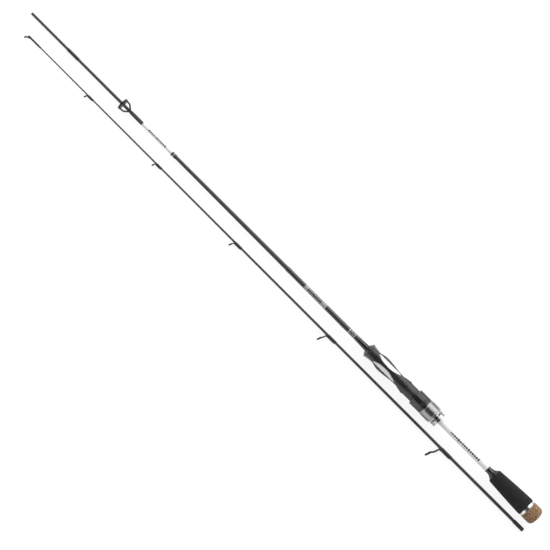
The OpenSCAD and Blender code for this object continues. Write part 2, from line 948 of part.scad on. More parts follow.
module guide_frame(i) {
    ring_r = guide_ring_r[i - 1];
    height = guide_height(i);
    forward = guide_forward(i);
    rear_r = guide_rear_r(i);
    wire = min(wire_r, 0.18 * ring_r);
    spread = 0.75 * ring_r;
    foot_inset = 2;
    color("#2c2d30")
        lay_tip()
            translate([guide_x[i - 1], 0, 0])
                difference() {
                    union() {
                        ring_place(forward, height, guide_lean)
                            band(ring_r, insert_outer_r(i), guide_band(i));
                        legs(ring_r, forward, height, spread, rear_r + glue, wire);
                        foot(guide_wrap_length[i - 1] - foot_inset, rear_r + glue);
                    }
                    shaft(-guide_wrap_length[i - 1], forward + ring_r, rear_r);
                    ring_place(forward, height, guide_lean)
                        cylinder(h = 2 * ring_r, r = insert_outer_r(i), center = true);
                }
}

module guide_ring(i) {
    width = band_width * mix(0.6, 1.15, guide_ring_r[i - 1] / guide_ring_r[0]);
    color("#3c3e42")
        lay_tip()
            translate([guide_x[i - 1], 0, 0])
                ring_place(guide_forward(i), guide_height(i), guide_lean)
                    insert(insert_outer_r(i) - glue, guide_bore_r[i - 1], width);
}

module guide_wrap(i) {
    color("#1d1d1f")
        lay_tip()
            translate([guide_x[i - 1], 0, 0])
                foot_wrap(guide_wrap_length[i - 1], guide_rear_r(i), tip_seat(guide_x[i - 1]));
}

// The tip-top: a tube over the end of the blank, and a ring on two short legs
top_x = tip_length - top_ring_r * sin(top_lean) - 0.8;
tube_end = tip_length - 5;
top_band = 1.2;
top_insert = 1.4;
top_wire_r = 0.45;
tube_x = tube_end - tube_length;
tube_r = tip_radius(tube_x) + tube_wall;
top_seat_r = mix(top_bore_r, top_ring_r, 0.55);

module top_frame() {
    nose = 0.4;
    leg_run = 5;
    leg_half_gap = 0.6;
    leg_sink = 0.3;
    color("#2c2d30")
        lay_tip()
            difference() {
                union() {
                    turned([
                        [0, tube_x],
                        [tube_r, tube_x],
                        [tube_r, tube_end - nose],
                        [tube_r - nose, tube_end],
                        [0, tube_end]
                    ]);
                    ring_place(top_x, top_height, top_lean)
                        band(top_ring_r, top_seat_r, top_band);
                    for (side = SIDES)
                        strut([tube_end - leg_run, side * leg_half_gap, tube_r - leg_sink],
                              [top_x - leg_sink, side * (top_ring_r - leg_half_gap), top_height - leg_sink],
                              top_wire_r);
                }
                ring_place(top_x, top_height, top_lean)
                    cylinder(h = 2 * top_ring_r, r = top_seat_r, center = true);
                turned([
                    [0, tube_x - past],
                    [tip_seat(tube_x - past), tube_x - past],
                    [tip_seat(tip_blank_end), tip_blank_end],
                    [0, tip_blank_end]
                ]);
            }
}

module top_ring() {
    color("#3c3e42")
        lay_tip()
            ring_place(top_x, top_height, top_lean)
                insert(top_seat_r - glue, top_bore_r, top_insert);
}

module top_wrap() {
    length = 4;
    taper = 1;
    color("#1d1d1f")
        lay_tip()
            tip_sleeve(tube_x - length, tube_x, tube_wall, taper);
}

butt_blank();
butt_cap();
grip_ring();
rear_grip();
rear_check();
reel_seat();
seat_panel_left();
seat_panel_right();
seat_arbors();
moving_hood();
nut_shell();
nut_insert();
nut_ring();
fore_check();
label_wrap();
trim_bands();
ferrule_stop_wrap();
stripper_frame();
stripper_ring();
stripper_wrap();
tip_blank();
socket_wrap();
for (i = GUIDES) {
    guide_frame(i);
    guide_ring(i);
    guide_wrap(i);
}
top_frame();
top_ring();
top_wrap();
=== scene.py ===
import json
from math import asin, atan2, cos, exp, hypot, pi, radians, sin, sqrt, tan

import bmesh
import bpy
from mathutils import Matrix, Vector, noise


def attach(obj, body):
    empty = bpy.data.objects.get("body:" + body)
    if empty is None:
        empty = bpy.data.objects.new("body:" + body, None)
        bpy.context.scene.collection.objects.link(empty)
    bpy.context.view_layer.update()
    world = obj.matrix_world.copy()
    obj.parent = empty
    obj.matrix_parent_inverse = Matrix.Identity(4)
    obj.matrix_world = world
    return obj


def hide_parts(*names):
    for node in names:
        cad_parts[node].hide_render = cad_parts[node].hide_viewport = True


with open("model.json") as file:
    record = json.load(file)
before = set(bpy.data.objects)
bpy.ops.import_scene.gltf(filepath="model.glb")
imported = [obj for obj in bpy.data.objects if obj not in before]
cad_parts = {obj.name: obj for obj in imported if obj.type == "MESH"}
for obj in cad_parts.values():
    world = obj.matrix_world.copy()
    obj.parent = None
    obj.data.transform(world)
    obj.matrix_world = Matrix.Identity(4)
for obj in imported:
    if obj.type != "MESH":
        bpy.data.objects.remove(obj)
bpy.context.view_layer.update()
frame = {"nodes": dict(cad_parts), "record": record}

# ---- Studio -------------------------------------------------------------------------------------
# A two-piece spinning rod lies taken apart on a pale table inside a light tent. The tent is bright
# low down along both sides, brighter on the right, and open above, so round glossy parts carry a
# dark stripe on their crown.


def add(tree, kind, inputs=None, **settings):
    """One node: inputs are set from numbers or linked from sockets, by name or by place."""
    made = tree.nodes.new(kind)
    for key, value in settings.items():
        setattr(made, key, value)
    for key, value in (inputs or {}).items():
        if isinstance(value, bpy.types.NodeSocket):
            tree.links.new(value, made.inputs[key])
        else:
            made.inputs[key].default_value = value
    return made


def calc(tree, operation, a, b=0.0, c=0.0):
    return add(tree, "ShaderNodeMath", {0: a, 1: b, 2: c}, operation=operation).outputs[0]


def spread(tree, value, low, high, to_low=0.0, to_high=1.0):
    """Maps a value from one range onto another, smoothly."""
    return add(tree, "ShaderNodeMapRange", {
        "Value": value, "From Min": low, "From Max": high, "To Min": to_low, "To Max": to_high},
        interpolation_type="SMOOTHSTEP").outputs["Result"]


def mix_colour(tree, share, a, b):
    made = add(tree, "ShaderNodeMix", {"Factor": share}, data_type="RGBA")
    for socket, value in ((made.inputs[6], a), (made.inputs[7], b)):
        if isinstance(value, bpy.types.NodeSocket):
            tree.links.new(value, socket)
        else:
            socket.default_value = (*value, 1)
    return made.outputs[2]


TABLE_HALF, TABLE_LIT, TABLE_SEEN, TABLE_GLOW = 40, 0.72, 0.18, 0.88
table_mesh = bpy.data.meshes.new("table_top")
table_mesh.from_pydata([(x * TABLE_HALF, y * TABLE_HALF, 0) for x, y in ((-1, -1), (1, -1), (1, 1), (-1, 1))],
                       [], [(0, 1, 2, 3)])
table_top = bpy.data.objects.new("table_top", table_mesh)
bpy.context.scene.collection.objects.link(table_top)
table_paint = bpy.data.materials.new("table_paint")
table_paint.use_nodes = True
tree = table_paint.node_tree
path = add(tree, "ShaderNodeLightPath")
seen = calc(tree, "MAXIMUM", path.outputs["Is Camera Ray"], path.outputs["Is Transmission Ray"])
seen = calc(tree, "MAXIMUM", seen, path.outputs["Is Glossy Ray"])
surface = tree.nodes["Principled BSDF"]
surface.inputs["Roughness"].default_value = 0.9
surface.inputs["Specular IOR Level"].default_value = 0.0
tree.links.new(mix_colour(tree, seen, (TABLE_LIT,) * 3, (TABLE_SEEN,) * 3), surface.inputs["Base Color"])
surface.inputs["Emission Color"].default_value = (1, 1, 1, 1)
tree.links.new(calc(tree, "MULTIPLY", seen, TABLE_GLOW), surface.inputs["Emission Strength"])
table_mesh.materials.append(table_paint)

room = bpy.data.worlds.new("light_tent")
bpy.context.scene.world = room
room.use_nodes = True
tree = room.node_tree
way = add(tree, "ShaderNodeSeparateXYZ", {0: add(tree, "ShaderNodeTexCoord").outputs["Generated"]})
lift = way.outputs["Z"]
level = calc(tree, "SQRT", calc(tree, "SUBTRACT", 1.0001, calc(tree, "MULTIPLY", lift, lift)))
sideways = calc(tree, "DIVIDE", way.outputs["Y"], level)
glow = spread(tree, lift, 0.95, 0.1, 0.06, 0.40)
# Each wall: how far round it begins and is full, how high it fades and is full, and its strength
for wall in ((-0.15, -0.8, 0.985, 0.84, 2.0), (0.15, 0.8, 0.90, 0.60, 0.95)):
    lit = calc(tree, "MULTIPLY", spread(tree, sideways, *wall[:2]), spread(tree, lift, *wall[2:4]))
    glow = calc(tree, "MULTIPLY_ADD", lit, wall[4], glow)
rest = calc(tree, "SUBTRACT", 1.0, glow)
glow = calc(tree, "MULTIPLY_ADD", add(tree, "ShaderNodeLightPath").outputs["Is Camera Ray"], rest, glow)
tree.nodes["Background"].inputs["Color"].default_value = (1, 1, 1, 1)
tree.links.new(glow, tree.nodes["Background"].inputs["Strength"])

# One long soft box on each side adds a firmer sheen and the faint shadows under the rod
BOX_LONG, BOX_TALL, BOX_AWAY, BOX_LIFT = 2.6, 0.8, 1.7, radians(26)
for label, side, radiance in (("right", -1, 0.7), ("left", 1, 0.2)):
    light = bpy.data.lights.new("soft_box_" + label, "AREA")
    light.shape = "RECTANGLE"
    light.size, light.size_y = BOX_LONG, BOX_TALL
    light.energy = radiance * pi * BOX_LONG * BOX_TALL
    lamp = bpy.data.objects.new("soft_box_" + label, light)
    bpy.context.scene.collection.objects.link(lamp)
    lamp.location = (0, side * BOX_AWAY * cos(BOX_LIFT), BOX_AWAY * sin(BOX_LIFT))
    facing = Vector(lamp.location).normalized()
    lamp.matrix_world = Matrix.Translation(lamp.location) @ Matrix((
        (1, 0, 0), facing.cross(Vector((1, 0, 0))), facing)).transposed().to_4x4()
    lamp.visible_camera = False

# The camera looks straight down through a long lens, with the rod along the picture's diagonal
LENS, SENSOR, VIEW_WIDTH = 300, 36, 0.7865
VIEW_X, VIEW_Y = 0.0003, 0.0011
camera_data = bpy.data.cameras.new("overhead")
camera_data.lens, camera_data.sensor_width = LENS, SENSOR
camera_data.clip_end = 100
camera = bpy.data.objects.new("overhead", camera_data)
bpy.context.scene.collection.objects.link(camera)
right, up = Vector((-1, -1, 0)).normalized(), Vector((1, -1, 0)).normalized()
view = Matrix((right, up, right.cross(up))).transposed().to_4x4()
view.translation = Vector((VIEW_X, VIEW_Y, VIEW_WIDTH * LENS / SENSOR))
camera.matrix_world = view
bpy.context.scene.camera = camera
bpy.context.scene.view_settings.view_transform = "Standard"

# ---- Where the two sections lie -----------------------------------------------------------------
# Each section has a frame of its own in millimetres: x runs along the blank from its rear end, and
# z points to the side of the guides. The ferrule and its socket say where both sections lie.
mounts = {m["name"]: m for m in frame["record"]["mounts"]}


def section_frame(origin, along, upward):
    made = Matrix((along, upward.cross(along), upward)).transposed().to_4x4()
    made.translation = origin
    return made @ Matrix.Scale(0.001, 4)


BUTT_LENGTH, TIP_LENGTH, FERRULE_X = 1021.7, 1003.0, 951.7
BUTT_REAR_R, FERRULE_R, TIP_REAR_R, TIP_FRONT_R = 5.0, 1.95, 2.55, 0.92
pin, socket = mounts["ferrule_pin"], mounts["ferrule_socket"]
pin_axis = Vector(pin["axis"]).normalized()
pin_back = (BUTT_LENGTH - pin["dims"]["length_mm"] / 2) / 1000
butt = section_frame(Vector(pin["pos_m"]) - pin_axis * pin_back, pin_axis,
                     Vector(mounts["reel_saddle"]["axis"]).normalized())
tip_axis = -Vector(socket["axis"]).normalized()
tip = section_frame(Vector(socket["pos_m"]) - tip_axis * socket["dims"]["length_mm"] / 2000, tip_axis,
                    Vector((0, 1, 0)))


def span(node, place):
    """Where a CAD node starts and ends along its section, and its largest radius."""
    back = place.inverted()
    points = [back @ v.co for v in frame["nodes"][node].data.vertices]
    xs = [p.x for p in points]
    return min(xs), max(xs), max(hypot(p.y, p.z) for p in points)


def blend_to(a, b, share):
    return a + (b - a) * share


def ease(a, b, share):
    return a + (b - a) * (1 - cos(pi * share)) / 2


def butt_radius(x):
    """The butt blank tapers from the handle to the ferrule, which is parallel."""
    return blend_to(BUTT_REAR_R, FERRULE_R, min(x / FERRULE_X, 1))


def tip_radius(x):
    return blend_to(TIP_REAR_R, TIP_FRONT_R, x / TIP_LENGTH)


# ---- Cork butt cap ------------------------------------------------------------------------------
# The rear end of the handle: rubberised cork, pressed from brown, tan and reddish granules, turned
# round at its rear edge, sanded fine, and glued over the end of the blank.


def face_out(mesh):
    work = bmesh.new()
    work.from_mesh(mesh)
    bmesh.ops.recalc_face_normals(work, faces=work.faces)
    work.to_mesh(mesh)
    work.free()


place_of = {"butt_section": butt, "hood": butt, "nut": butt, "tip_section": tip}


def finish_piece(piece, body, node, sharp=38):
    """Moves a mesh to its section, smooths it with crisp edges, and lets it ride on its body."""
    piece.data.transform(place_of[body])
    face_out(piece.data)
    piece.data.shade_smooth()
    piece.data.set_sharp_from_angle(angle=radians(sharp))
    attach(piece, body)
    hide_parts(node)


def raw_object(name, shape, material):
    points, faces = shape
    mesh = bpy.data.meshes.new(name)
    mesh.from_pydata([tuple(p) for p in points], [], faces)
    mesh.validate()
    mesh.materials.append(material)
    piece = bpy.data.objects.new(name, mesh)
    bpy.context.scene.collection.objects.link(piece)
    return piece


def mesh_piece(name, shape, material, body, node, sharp=38):
    """A finished piece from points and faces drawn in a section's frame."""
    finish_piece(raw_object(name, shape, material), body, node, sharp)


def skin(rows, closed=False):
    """Points and faces over rows of points that run round the axis. A row of one point is a pole;
    closed joins the last row to the first."""
    points, faces, starts = [], [], []
    for row in rows:
        starts.append(len(points))
        points += [tuple(p) for p in row]
    pairs = list(zip(range(len(rows)), range(1, len(rows))))
    if closed:
        pairs.append((len(rows) - 1, 0))
    for a, b in pairs:
        around = max(len(rows[a]), len(rows[b]))
        for j in range(around):
            k = (j + 1) % around
            if len(rows[a]) == 1:
                faces.append((starts[a], starts[b] + k, starts[b] + j))
            elif len(rows[b]) == 1:
                faces.append((starts[a] + j, starts[a] + k, starts[b]))
            else:
                faces.append((starts[a] + j, starts[a] + k, starts[b] + k, starts[b] + j))
    return points, faces


def softened(corners, radius, steps=4):
    """A closed outline with each of its corners turned into a small arc."""
    made = []
    for i in range(len(corners)):
        a, b, c = Vector(corners[i - 1]), Vector(corners[i]), Vector(corners[(i + 1) % len(corners)])
        into, out = (a - b), (c - b)
        reach = min(radius, into.length * 0.45, out.length * 0.45)
        start, stop = b + into.normalized() * reach, b + out.normalized() * reach
        for k in range(steps + 1):
            t = k / steps
            made.append(tuple(start * (1 - t) ** 2 + b * (2 * t * (1 - t)) + stop * t ** 2))
    return made


def at_turn(x, r, turn):
    return Vector((x, r * sin(turn), r * cos(turn)))


def turned(profile, around, warp=None):
    """Rows for a piece turned about x. A point on the axis is a pole. warp(point) may move a point."""
    rows = []
    for x, r in profile:
        count = around if r > 1e-6 else 1
        turns = [2 * pi * j / around for j in range(count)]
        row = [at_turn(x, r, t) for t in turns]
        rows.append([warp(p) for p in row] if warp else row)
    return rows


def new_material(name, colour=(0.5, 0.5, 0.5), roughness=0.5, metallic=0.0, specular=0.5):
    material = bpy.data.materials.new(name)
    material.use_nodes = True
    surface = material.node_tree.nodes["Principled BSDF"]
    for socket, value in (("Base Color", (*colour, 1)), ("Roughness", roughness), ("Metallic", metallic),
                          ("Specular IOR Level", specular)):
        surface.inputs[socket].default_value = value
    return material, material.node_tree, surface


def paint(tree, surface, colour):
    tree.links.new(colour, surface.inputs["Base Color"])


def vary_gloss(tree, surface, share, smooth, rough):
    tree.links.new(spread(tree, share, 0.3, 0.7, smooth, rough), surface.inputs["Roughness"])


def local(tree, place):
    """Object coordinates turned into a section's own frame, in millimetres."""
    back = place.inverted()
    return add(tree, "ShaderNodeMapping", {
        "Vector": add(tree, "ShaderNodeTexCoord").outputs["Object"], "Location": back.translation,
        "Rotation": back.to_euler(), "Scale": back.to_scale()}).outputs["Vector"]


def noise_of(tree, where, scale, detail):
    return add(tree, "ShaderNodeTexNoise", {"Vector": where, "Scale": scale, "Detail": detail}).outputs["Fac"]


def cells_of(tree, where, scale):
    return add(tree, "ShaderNodeTexVoronoi", {"Vector": where, "Scale": scale}).outputs


def bump(tree, surface, height, distance, strength):
    """Relief given in millimetres."""
    made = add(tree, "ShaderNodeBump", {"Height": height, "Distance": distance / 1000, "Strength": strength})
    tree.links.new(made.outputs["Normal"], surface.inputs["Normal"])


def ramp(tree, share, stops):
    """A colour ramp from (position, colour) stops."""
    made = add(tree, "ShaderNodeValToRGB", {"Fac": share})
    band = made.color_ramp
    while len(band.elements) < len(stops):
        band.elements.new(0.5)
    for element, (position, colour) in zip(band.elements, stops):
        element.position = position
        element.color = (*colour, 1)
    return made.outputs["Color"]


cork, tree, surface = new_material("rubber_cork", roughness=0.82, specular=0.3)
where = local(tree, butt)
granules, flecks = cells_of(tree, where, 0.75), cells_of(tree, where, 1.7)
tone = add(tree, "ShaderNodeSeparateColor", {"Color": granules["Color"]})
fine = add(tree, "ShaderNodeSeparateColor", {"Color": flecks["Color"]})
body_colour = ramp(tree, tone.outputs["Red"], [
    (0.0, (0.055, 0.028, 0.014)), (0.25, (0.125, 0.072, 0.036)), (0.5, (0.210, 0.124, 0.064)),
    (0.75, (0.31, 0.190, 0.105)), (0.9, (0.38, 0.185, 0.105)), (1.0, (0.50, 0.35, 0.21))])
fleck_colour = ramp(tree, fine.outputs["Green"], [
    (0.0, (0.030, 0.015, 0.008)), (0.5, (0.18, 0.105, 0.055)), (1.0, (0.50, 0.34, 0.20))])
paint(tree, surface, mix_colour(tree, 0.4, body_colour, fleck_colour))
grain = noise_of(tree, where, 3.0, 4)
bump(tree, surface, calc(tree, "MULTIPLY_ADD", grain, 0.5, granules["Distance"]), 0.22, 0.6)

cap_x0, cap_x1, cap_r = span("butt_cap", butt)
CAP_ROUND, CAP_DOME, CAP_EDGE = 7.6, 0.7, 0.6


def cork_unevenness(point):
    """The granules stand a few hundredths of a millimetre proud or low of each other."""
    swell = noise.noise(point * 0.9) * 0.06 + noise.noise(point * 2.3) * 0.03 - 0.08
    return point + Vector((0, point.y, point.z)).normalized() * swell


cap_profile = [(cap_x0, 0.0)]
for step in range(1, 7):
    share = step / 6
    cap_profile.append((cap_x0 + CAP_DOME * share ** 2, (cap_r - CAP_ROUND) * share))
for step in range(1, 17):
    turn = radians(90 * step / 16)
    cap_profile.append((cap_x0 + CAP_DOME + (CAP_ROUND - CAP_DOME) * (1 - cos(turn)),
                        cap_r - CAP_ROUND * (1 - sin(turn))))
for step in range(1, 15):
    cap_profile.append((blend_to(cap_x0 + CAP_ROUND, cap_x1 - 0.1, step / 14), cap_r - 0.01 * step))
cap_profile += [(cap_x1, cap_r - CAP_EDGE), (cap_x1, 0.0)]
mesh_piece("cork_butt_cap", skin(turned(cap_profile, 96, cork_unevenness)), cork,
           "butt_section", "butt_cap", sharp=60)

# ---- Bright ring --------------------------------------------------------------------------------
# A polished steel ring between cork and foam, slid over the blank and glued. Its edges are broken
# with a small radius, a fine groove runs round its middle, and its turning marks run round it.


def bright_metal(name, colour, roughness, place, marks=9.0, scratch=0.004):
    """Turned metal: its marks run round the section's axis, and its polish varies a little."""
    material, tree, surface = new_material(name, colour, roughness, 1.0)
    where = local(tree, place)
    along = add(tree, "ShaderNodeSeparateXYZ", {0: where}).outputs["X"]
    rings = add(tree, "ShaderNodeTexNoise", {"W": calc(tree, "MULTIPLY", along, marks), "Detail": 2},
                noise_dimensions="1D")
    smears = noise_of(tree, where, 0.3, 3)
    tree.links.new(spread(tree, smears, 0.25, 0.75, roughness * 0.75, roughness * 1.35),
                   surface.inputs["Roughness"])
    paint(tree, surface, mix_colour(tree, smears, [c * 0.93 for c in colour], colour))
    bump(tree, surface, rings.outputs["Fac"], scratch, 0.5)
    return material


chrome = bright_metal("polished_steel", (0.62, 0.624, 0.63), 0.10, butt)


def collar(corners, edge, steps, around, warp=None):
    """A closed shell turned about x, from the corners of its outline."""
    return skin(turned(softened(corners, edge, steps), around, warp), True)


ring_x0, ring_x1, ring_r = span("grip_ring", butt)
RING_BORE, GROOVE_WIDE, GROOVE_DEEP = 4.96, 0.5, 0.2
ring_mid = (ring_x0 + ring_x1) / 2
mesh_piece("bright_grip_ring", collar([
    (ring_x0, RING_BORE), (ring_x0, ring_r), (ring_mid - GROOVE_WIDE, ring_r),
    (ring_mid - GROOVE_WIDE / 2, ring_r - GROOVE_DEEP), (ring_mid + GROOVE_WIDE / 2, ring_r - GROOVE_DEEP),
    (ring_mid + GROOVE_WIDE, ring_r), (ring_x1, ring_r), (ring_x1, RING_BORE)], 0.5, 4, 128),
    chrome, "butt_section", "grip_ring")

# ---- Foam grip ----------------------------------------------------------------------------------
# Closed-cell foam, black and matt, ground to a slim barrel shape that narrows to the front. The
# grinding leaves fine open cells all over it.
foam, tree, surface = new_material("closed_cell_foam", roughness=0.88, specular=0.25)
where = local(tree, butt)
foam_tone = ramp(tree, noise_of(tree, where, 0.18, 5),
                 [(0.3, (0.0112, 0.0112, 0.0116)), (0.7, (0.0172, 0.0172, 0.0176))])
specks = spread(tree, noise_of(tree, where, 4.5, 2), 0.56, 0.72)
paint(tree, surface, mix_colour(tree, specks, foam_tone, (0.04, 0.04, 0.04)))
bump(tree, surface, cells_of(tree, where, 3.2)["Distance"], 0.2, 0.9)

grip_x0, grip_x1, grip_rear = span("rear_grip", butt)
GRIP_FRONT, GRIP_EDGE, GRIP_CURVE = 10.6, 1.5, 1.35
OVER_CHECK = 2.3                       # the foam's face stands over the rear of the trumpet
grip_x1 += OVER_CHECK
grip_corners = [(grip_x0, 4.93), (grip_x0, grip_rear)]
for step in range(1, 24):
    share = step / 24
    grip_corners.append((blend_to(grip_x0, grip_x1, share),
                         blend_to(grip_rear, GRIP_FRONT, share ** GRIP_CURVE)))
grip_corners += [(grip_x1, GRIP_FRONT), (grip_x1, 4.8)]


def foam_unevenness(point):
    outward = Vector((0, point.y, point.z)).normalized()
    return point + outward * (noise.noise(point * 0.16) * 0.05 - 0.05)


mesh_piece("foam_grip", collar(grip_corners, GRIP_EDGE, 6, 96, foam_unevenness), foam,
           "butt_section", "rear_grip")

# ---- Tapered grip check -------------------------------------------------------------------------
# A dark anodised aluminium trumpet, turned on a lathe, that finishes the front of the grip and ends
# in a small lip on the blank.
dark_metal = bright_metal("anodised_dark", (0.062, 0.063, 0.066), 0.16, butt, 5.0)
check_x0, check_x1, check_r = span("rear_check", butt)
check_x0 += OVER_CHECK
CHECK_LIP, CHECK_NECK, CHECK_BEAD = 2.0, 4.8, 5.1
check_corners = [(check_x0, 4.76), (check_x0, check_r), (check_x0 + 0.7, check_r)]
for step in range(1, 25):
    share = step / 24
    check_corners.append((blend_to(check_x0 + 1.0, check_x1 - CHECK_LIP, share),
                          ease(check_r, CHECK_NECK, share ** 0.45)))
check_corners += [(check_x1 - CHECK_LIP + 0.4, CHECK_BEAD), (check_x1, CHECK_BEAD), (check_x1, 4.7)]
mesh_piece("tapered_grip_check", collar(check_corners, 0.2, 4, 96), dark_metal,
           "butt_section", "rear_check")

# ---- Butt blank ---------------------------------------------------------------------------------
# The tapered carbon tube of the rear section, lacquered over the faint spiral of the tape it was
# rolled under. Ahead of the grip, and beyond the double ring, it is painted pearl white, with a plain
# scale of dark marks on its crown for measuring a catch.


def station_and_turn(tree, place):
    """The distance along a section in millimetres, and the turn round it from the guide side."""
    where = local(tree, place)
    parts = add(tree, "ShaderNodeSeparateXYZ", {0: where})
    return where, parts.outputs["X"], calc(tree, "ARCTAN2", parts.outputs["Y"], parts.outputs["Z"])


def zones(tree, along, spans):
    """1 between two stations of any span, else 0."""
    inside = 0.0
    for start, stop in spans:
        inside = calc(tree, "MULTIPLY_ADD", calc(tree, "GREATER_THAN", along, start),
                      calc(tree, "LESS_THAN", along, stop), inside)
    return inside


FIFTH_LONGER, CROWN_SHIFT, BASE_LINE = 0.55, 0.02, 0.09


def scale_marks(tree, along, turn, rulers):
    """Marks across the crown, each fifth one longer, on one fine line along it."""
    printed = 0.0
    for start, stop, pitch, width, reach in rulers:
        from_start = calc(tree, "SUBTRACT", along, start)
        bar = calc(tree, "LESS_THAN", calc(tree, "MODULO", from_start, pitch), width)
        fifth = calc(tree, "LESS_THAN", calc(tree, "MODULO", from_start, 5 * pitch), pitch)
        tall = calc(tree, "MULTIPLY_ADD", fifth, reach * FIFTH_LONGER, reach)
        away = calc(tree, "ABSOLUTE", calc(tree, "ADD", turn, CROWN_SHIFT))
        near = calc(tree, "MULTIPLY", bar, calc(tree, "LESS_THAN", away, tall))
        ink = calc(tree, "MAXIMUM", near, calc(tree, "LESS_THAN", away, BASE_LINE))
        printed = calc(tree, "MULTIPLY_ADD", zones(tree, along, [(start, stop)]), ink, printed)
    return printed


def blank_material(name, place, white=(), marks=()):
    material, tree, surface = new_material(name, roughness=0.16)
    where, along, turn = station_and_turn(tree, place)
    cloud = noise_of(tree, where, 0.12, 4)
    drawn_out = add(tree, "ShaderNodeMapping", {"Vector": where, "Scale": (0.15, 4, 4)}).outputs["Vector"]
    carbon = ramp(tree, noise_of(tree, drawn_out, 1.0, 3), [
        (0.3, (0.022, 0.022, 0.0235)), (0.6, (0.040, 0.040, 0.0425)), (0.8, (0.066, 0.066, 0.069))])
    colour = mix_colour(tree, calc(tree, "MULTIPLY", cloud, 0.3), carbon, (0.030, 0.030, 0.0325))
    pearl = mix_colour(tree, cloud, (0.66, 0.66, 0.665), (0.74, 0.74, 0.74))
    painted = zones(tree, along, white)
    colour = mix_colour(tree, painted, colour, pearl)
    paint(tree, surface, mix_colour(tree, scale_marks(tree, along, turn, marks), colour, (0.012, 0.012, 0.013)))
    vary_gloss(tree, surface, cloud, 0.12, 0.2)
    turns = calc(tree, "ADD", calc(tree, "DIVIDE", along, TAPE_PITCH), calc(tree, "DIVIDE", turn, 2 * pi))
    bare = calc(tree, "SUBTRACT", 1.0, painted)
    bump(tree, surface, calc(tree, "MULTIPLY", calc(tree, "PINGPONG", turns, 0.5), bare), 0.012, 0.5)
    return material


TAPE_PITCH, WALL, DOUBLE_X = 3.0, 0.9, 730.0
butt_paint = blank_material("butt_blank_lacquer", butt, [(101.5, 198.3), (734, 797.5)],
                            [(118, 175, 4.0, 2.2, 0.28), (751, 785, 3.2, 1.7, 0.40)])


def tube(stations, radius, bore, around):
    """A hollow tapered tube: rows outside from rear to front, then back down the bore."""
    x0, x1 = stations[0], stations[-1]
    profile = [(x0, bore(x0)), (x0, radius(x0))] + [(x, radius(x)) for x in stations[1:-1]]
    profile += [(x1 - 0.3, radius(x1)), (x1, radius(x1) - 0.2), (x1, bore(x1))]
    profile += [(x, bore(x)) for x in reversed(stations[1:-1])]
    return skin(turned(profile, around), True)


blank_x0, blank_x1, _ = span("butt_blank", butt)
blank_stations = [blend_to(blank_x0, FERRULE_X, i / 60) for i in range(61)] + [975.0, 1000.0, blank_x1]
mesh_piece("butt_blank_tube", tube(blank_stations, butt_radius, lambda x: butt_radius(x) - WALL, 64),
           butt_paint, "butt_section", "butt_blank", sharp=30)

# ---- Tip blank ----------------------------------------------------------------------------------
# The front section's slim carbon tube. Its rear end is the socket that slides over the ferrule, and
# its front end stops inside the tube of the tip-top.
tip_paint = blank_material("tip_blank_lacquer", tip)
tip_x0, tip_x1, _ = span("tip_blank", tip)
SOCKET_DEEP, SOCKET_R = 74, 1.98


def tip_bore(x):
    if x < SOCKET_DEEP:
        return SOCKET_R
    return blend_to(1.8, 0.42, (x - SOCKET_DEEP) / (TIP_LENGTH - SOCKET_DEEP))


tip_stations = [tip_x0, 10.0, 40.0, 73.9, 74.6] + [blend_to(75.0, tip_x1, i / 50) for i in range(1, 51)]
mesh_piece("tip_blank_tube", tube(tip_stations, tip_radius, tip_bore, 40), tip_paint,
           "tip_section", "tip_blank", sharp=30)

# ---- Reel seat ----------------------------------------------------------------------------------
# The moulded handle that holds the reel. Behind is a threaded barrel with a keyway underneath; then
# a waisted saddle whose narrow spine carries the reel's foot, with a slanting facet on each side;
# then the fixed hood, whose pocket takes the front of the foot. Glossy black plastic.


def clouded(name, place, scale, detail, dark, light, smooth, rough=None, specular=0.5):
    """A finish whose tone wanders a little, and its gloss too if two ends are given for it."""
    material, tree, surface = new_material(name, light, smooth, specular=specular)
    where = local(tree, place)
    cloud = noise_of(tree, where, scale, detail)
    paint(tree, surface, mix_colour(tree, cloud, dark, light))
    if rough:
        vary_gloss(tree, surface, cloud, smooth, rough)
    return material, tree, surface, where, cloud


def moulded_plastic(name, dark, light, smooth, rough):
    """Glossy moulding: faint flow marks in its tone and gloss, and a very fine orange peel."""
    material, tree, surface, where, _ = clouded(name, butt, 0.22, 4, (dark,) * 3, (light,) * 3, smooth, rough, 0.54)
    bump(tree, surface, noise_of(tree, where, 1.6, 2), 0.006, 0.4)
    return material


seat_black = moulded_plastic("seat_plastic", 0.014, 0.021, 0.27, 0.36)

seat_x0, seat_x1, _ = span("reel_seat", butt)
BARREL_R, SHOULDER_X, MOUTH_X, WIDE_X = 10.3, 263.8, 328.2, 340.3
SHOULDER_R, WAIST_R, SWELL_R, MOUTH_R, HOOD_R, NOSE_R = 11.1, 8.6, 11.4, 8.9, 11.2, 4.8
WAIST_X, SWELL_X, SPINE_X = 278.9, 313.1, 302.4
FOOT_LINE, SPINE_TOP, SPINE_SIDE = 10.5, 10.75, 2.1
FACET_TILT, FACET_HEIGHT = radians(35), 8.8
PANEL_REACH, PANEL_RIM, PANEL_DEEP = 8.1, 0.9, 1.2
LEAF_REAR, LEAF_FRONT = 282.7, 325.4
THREAD_PITCH, THREAD_DEEP = 2.0, 0.3
KEY_TURN, KEY_FLOOR = pi - asin(1.5 / BARREL_R), 9.2
SEAT_BORE, NOSE_BORE, BORE_STEP = 5.6, 3.95, 341.6


def smooth_min(a, b, k):
    h = max(k - abs(a - b), 0) / k
    return min(a, b) - h * h * k / 4


def saddle_r(x):
    if x < WAIST_X:
        return ease(SHOULDER_R, WAIST_R, max(x - SHOULDER_X, 0) / (WAIST_X - SHOULDER_X))
    if x < SWELL_X:
        return ease(WAIST_R, SWELL_R, (x - WAIST_X) / (SWELL_X - WAIST_X))
    return ease(SWELL_R, MOUTH_R, min((x - SWELL_X) / (MOUTH_X - SWELL_X), 1))


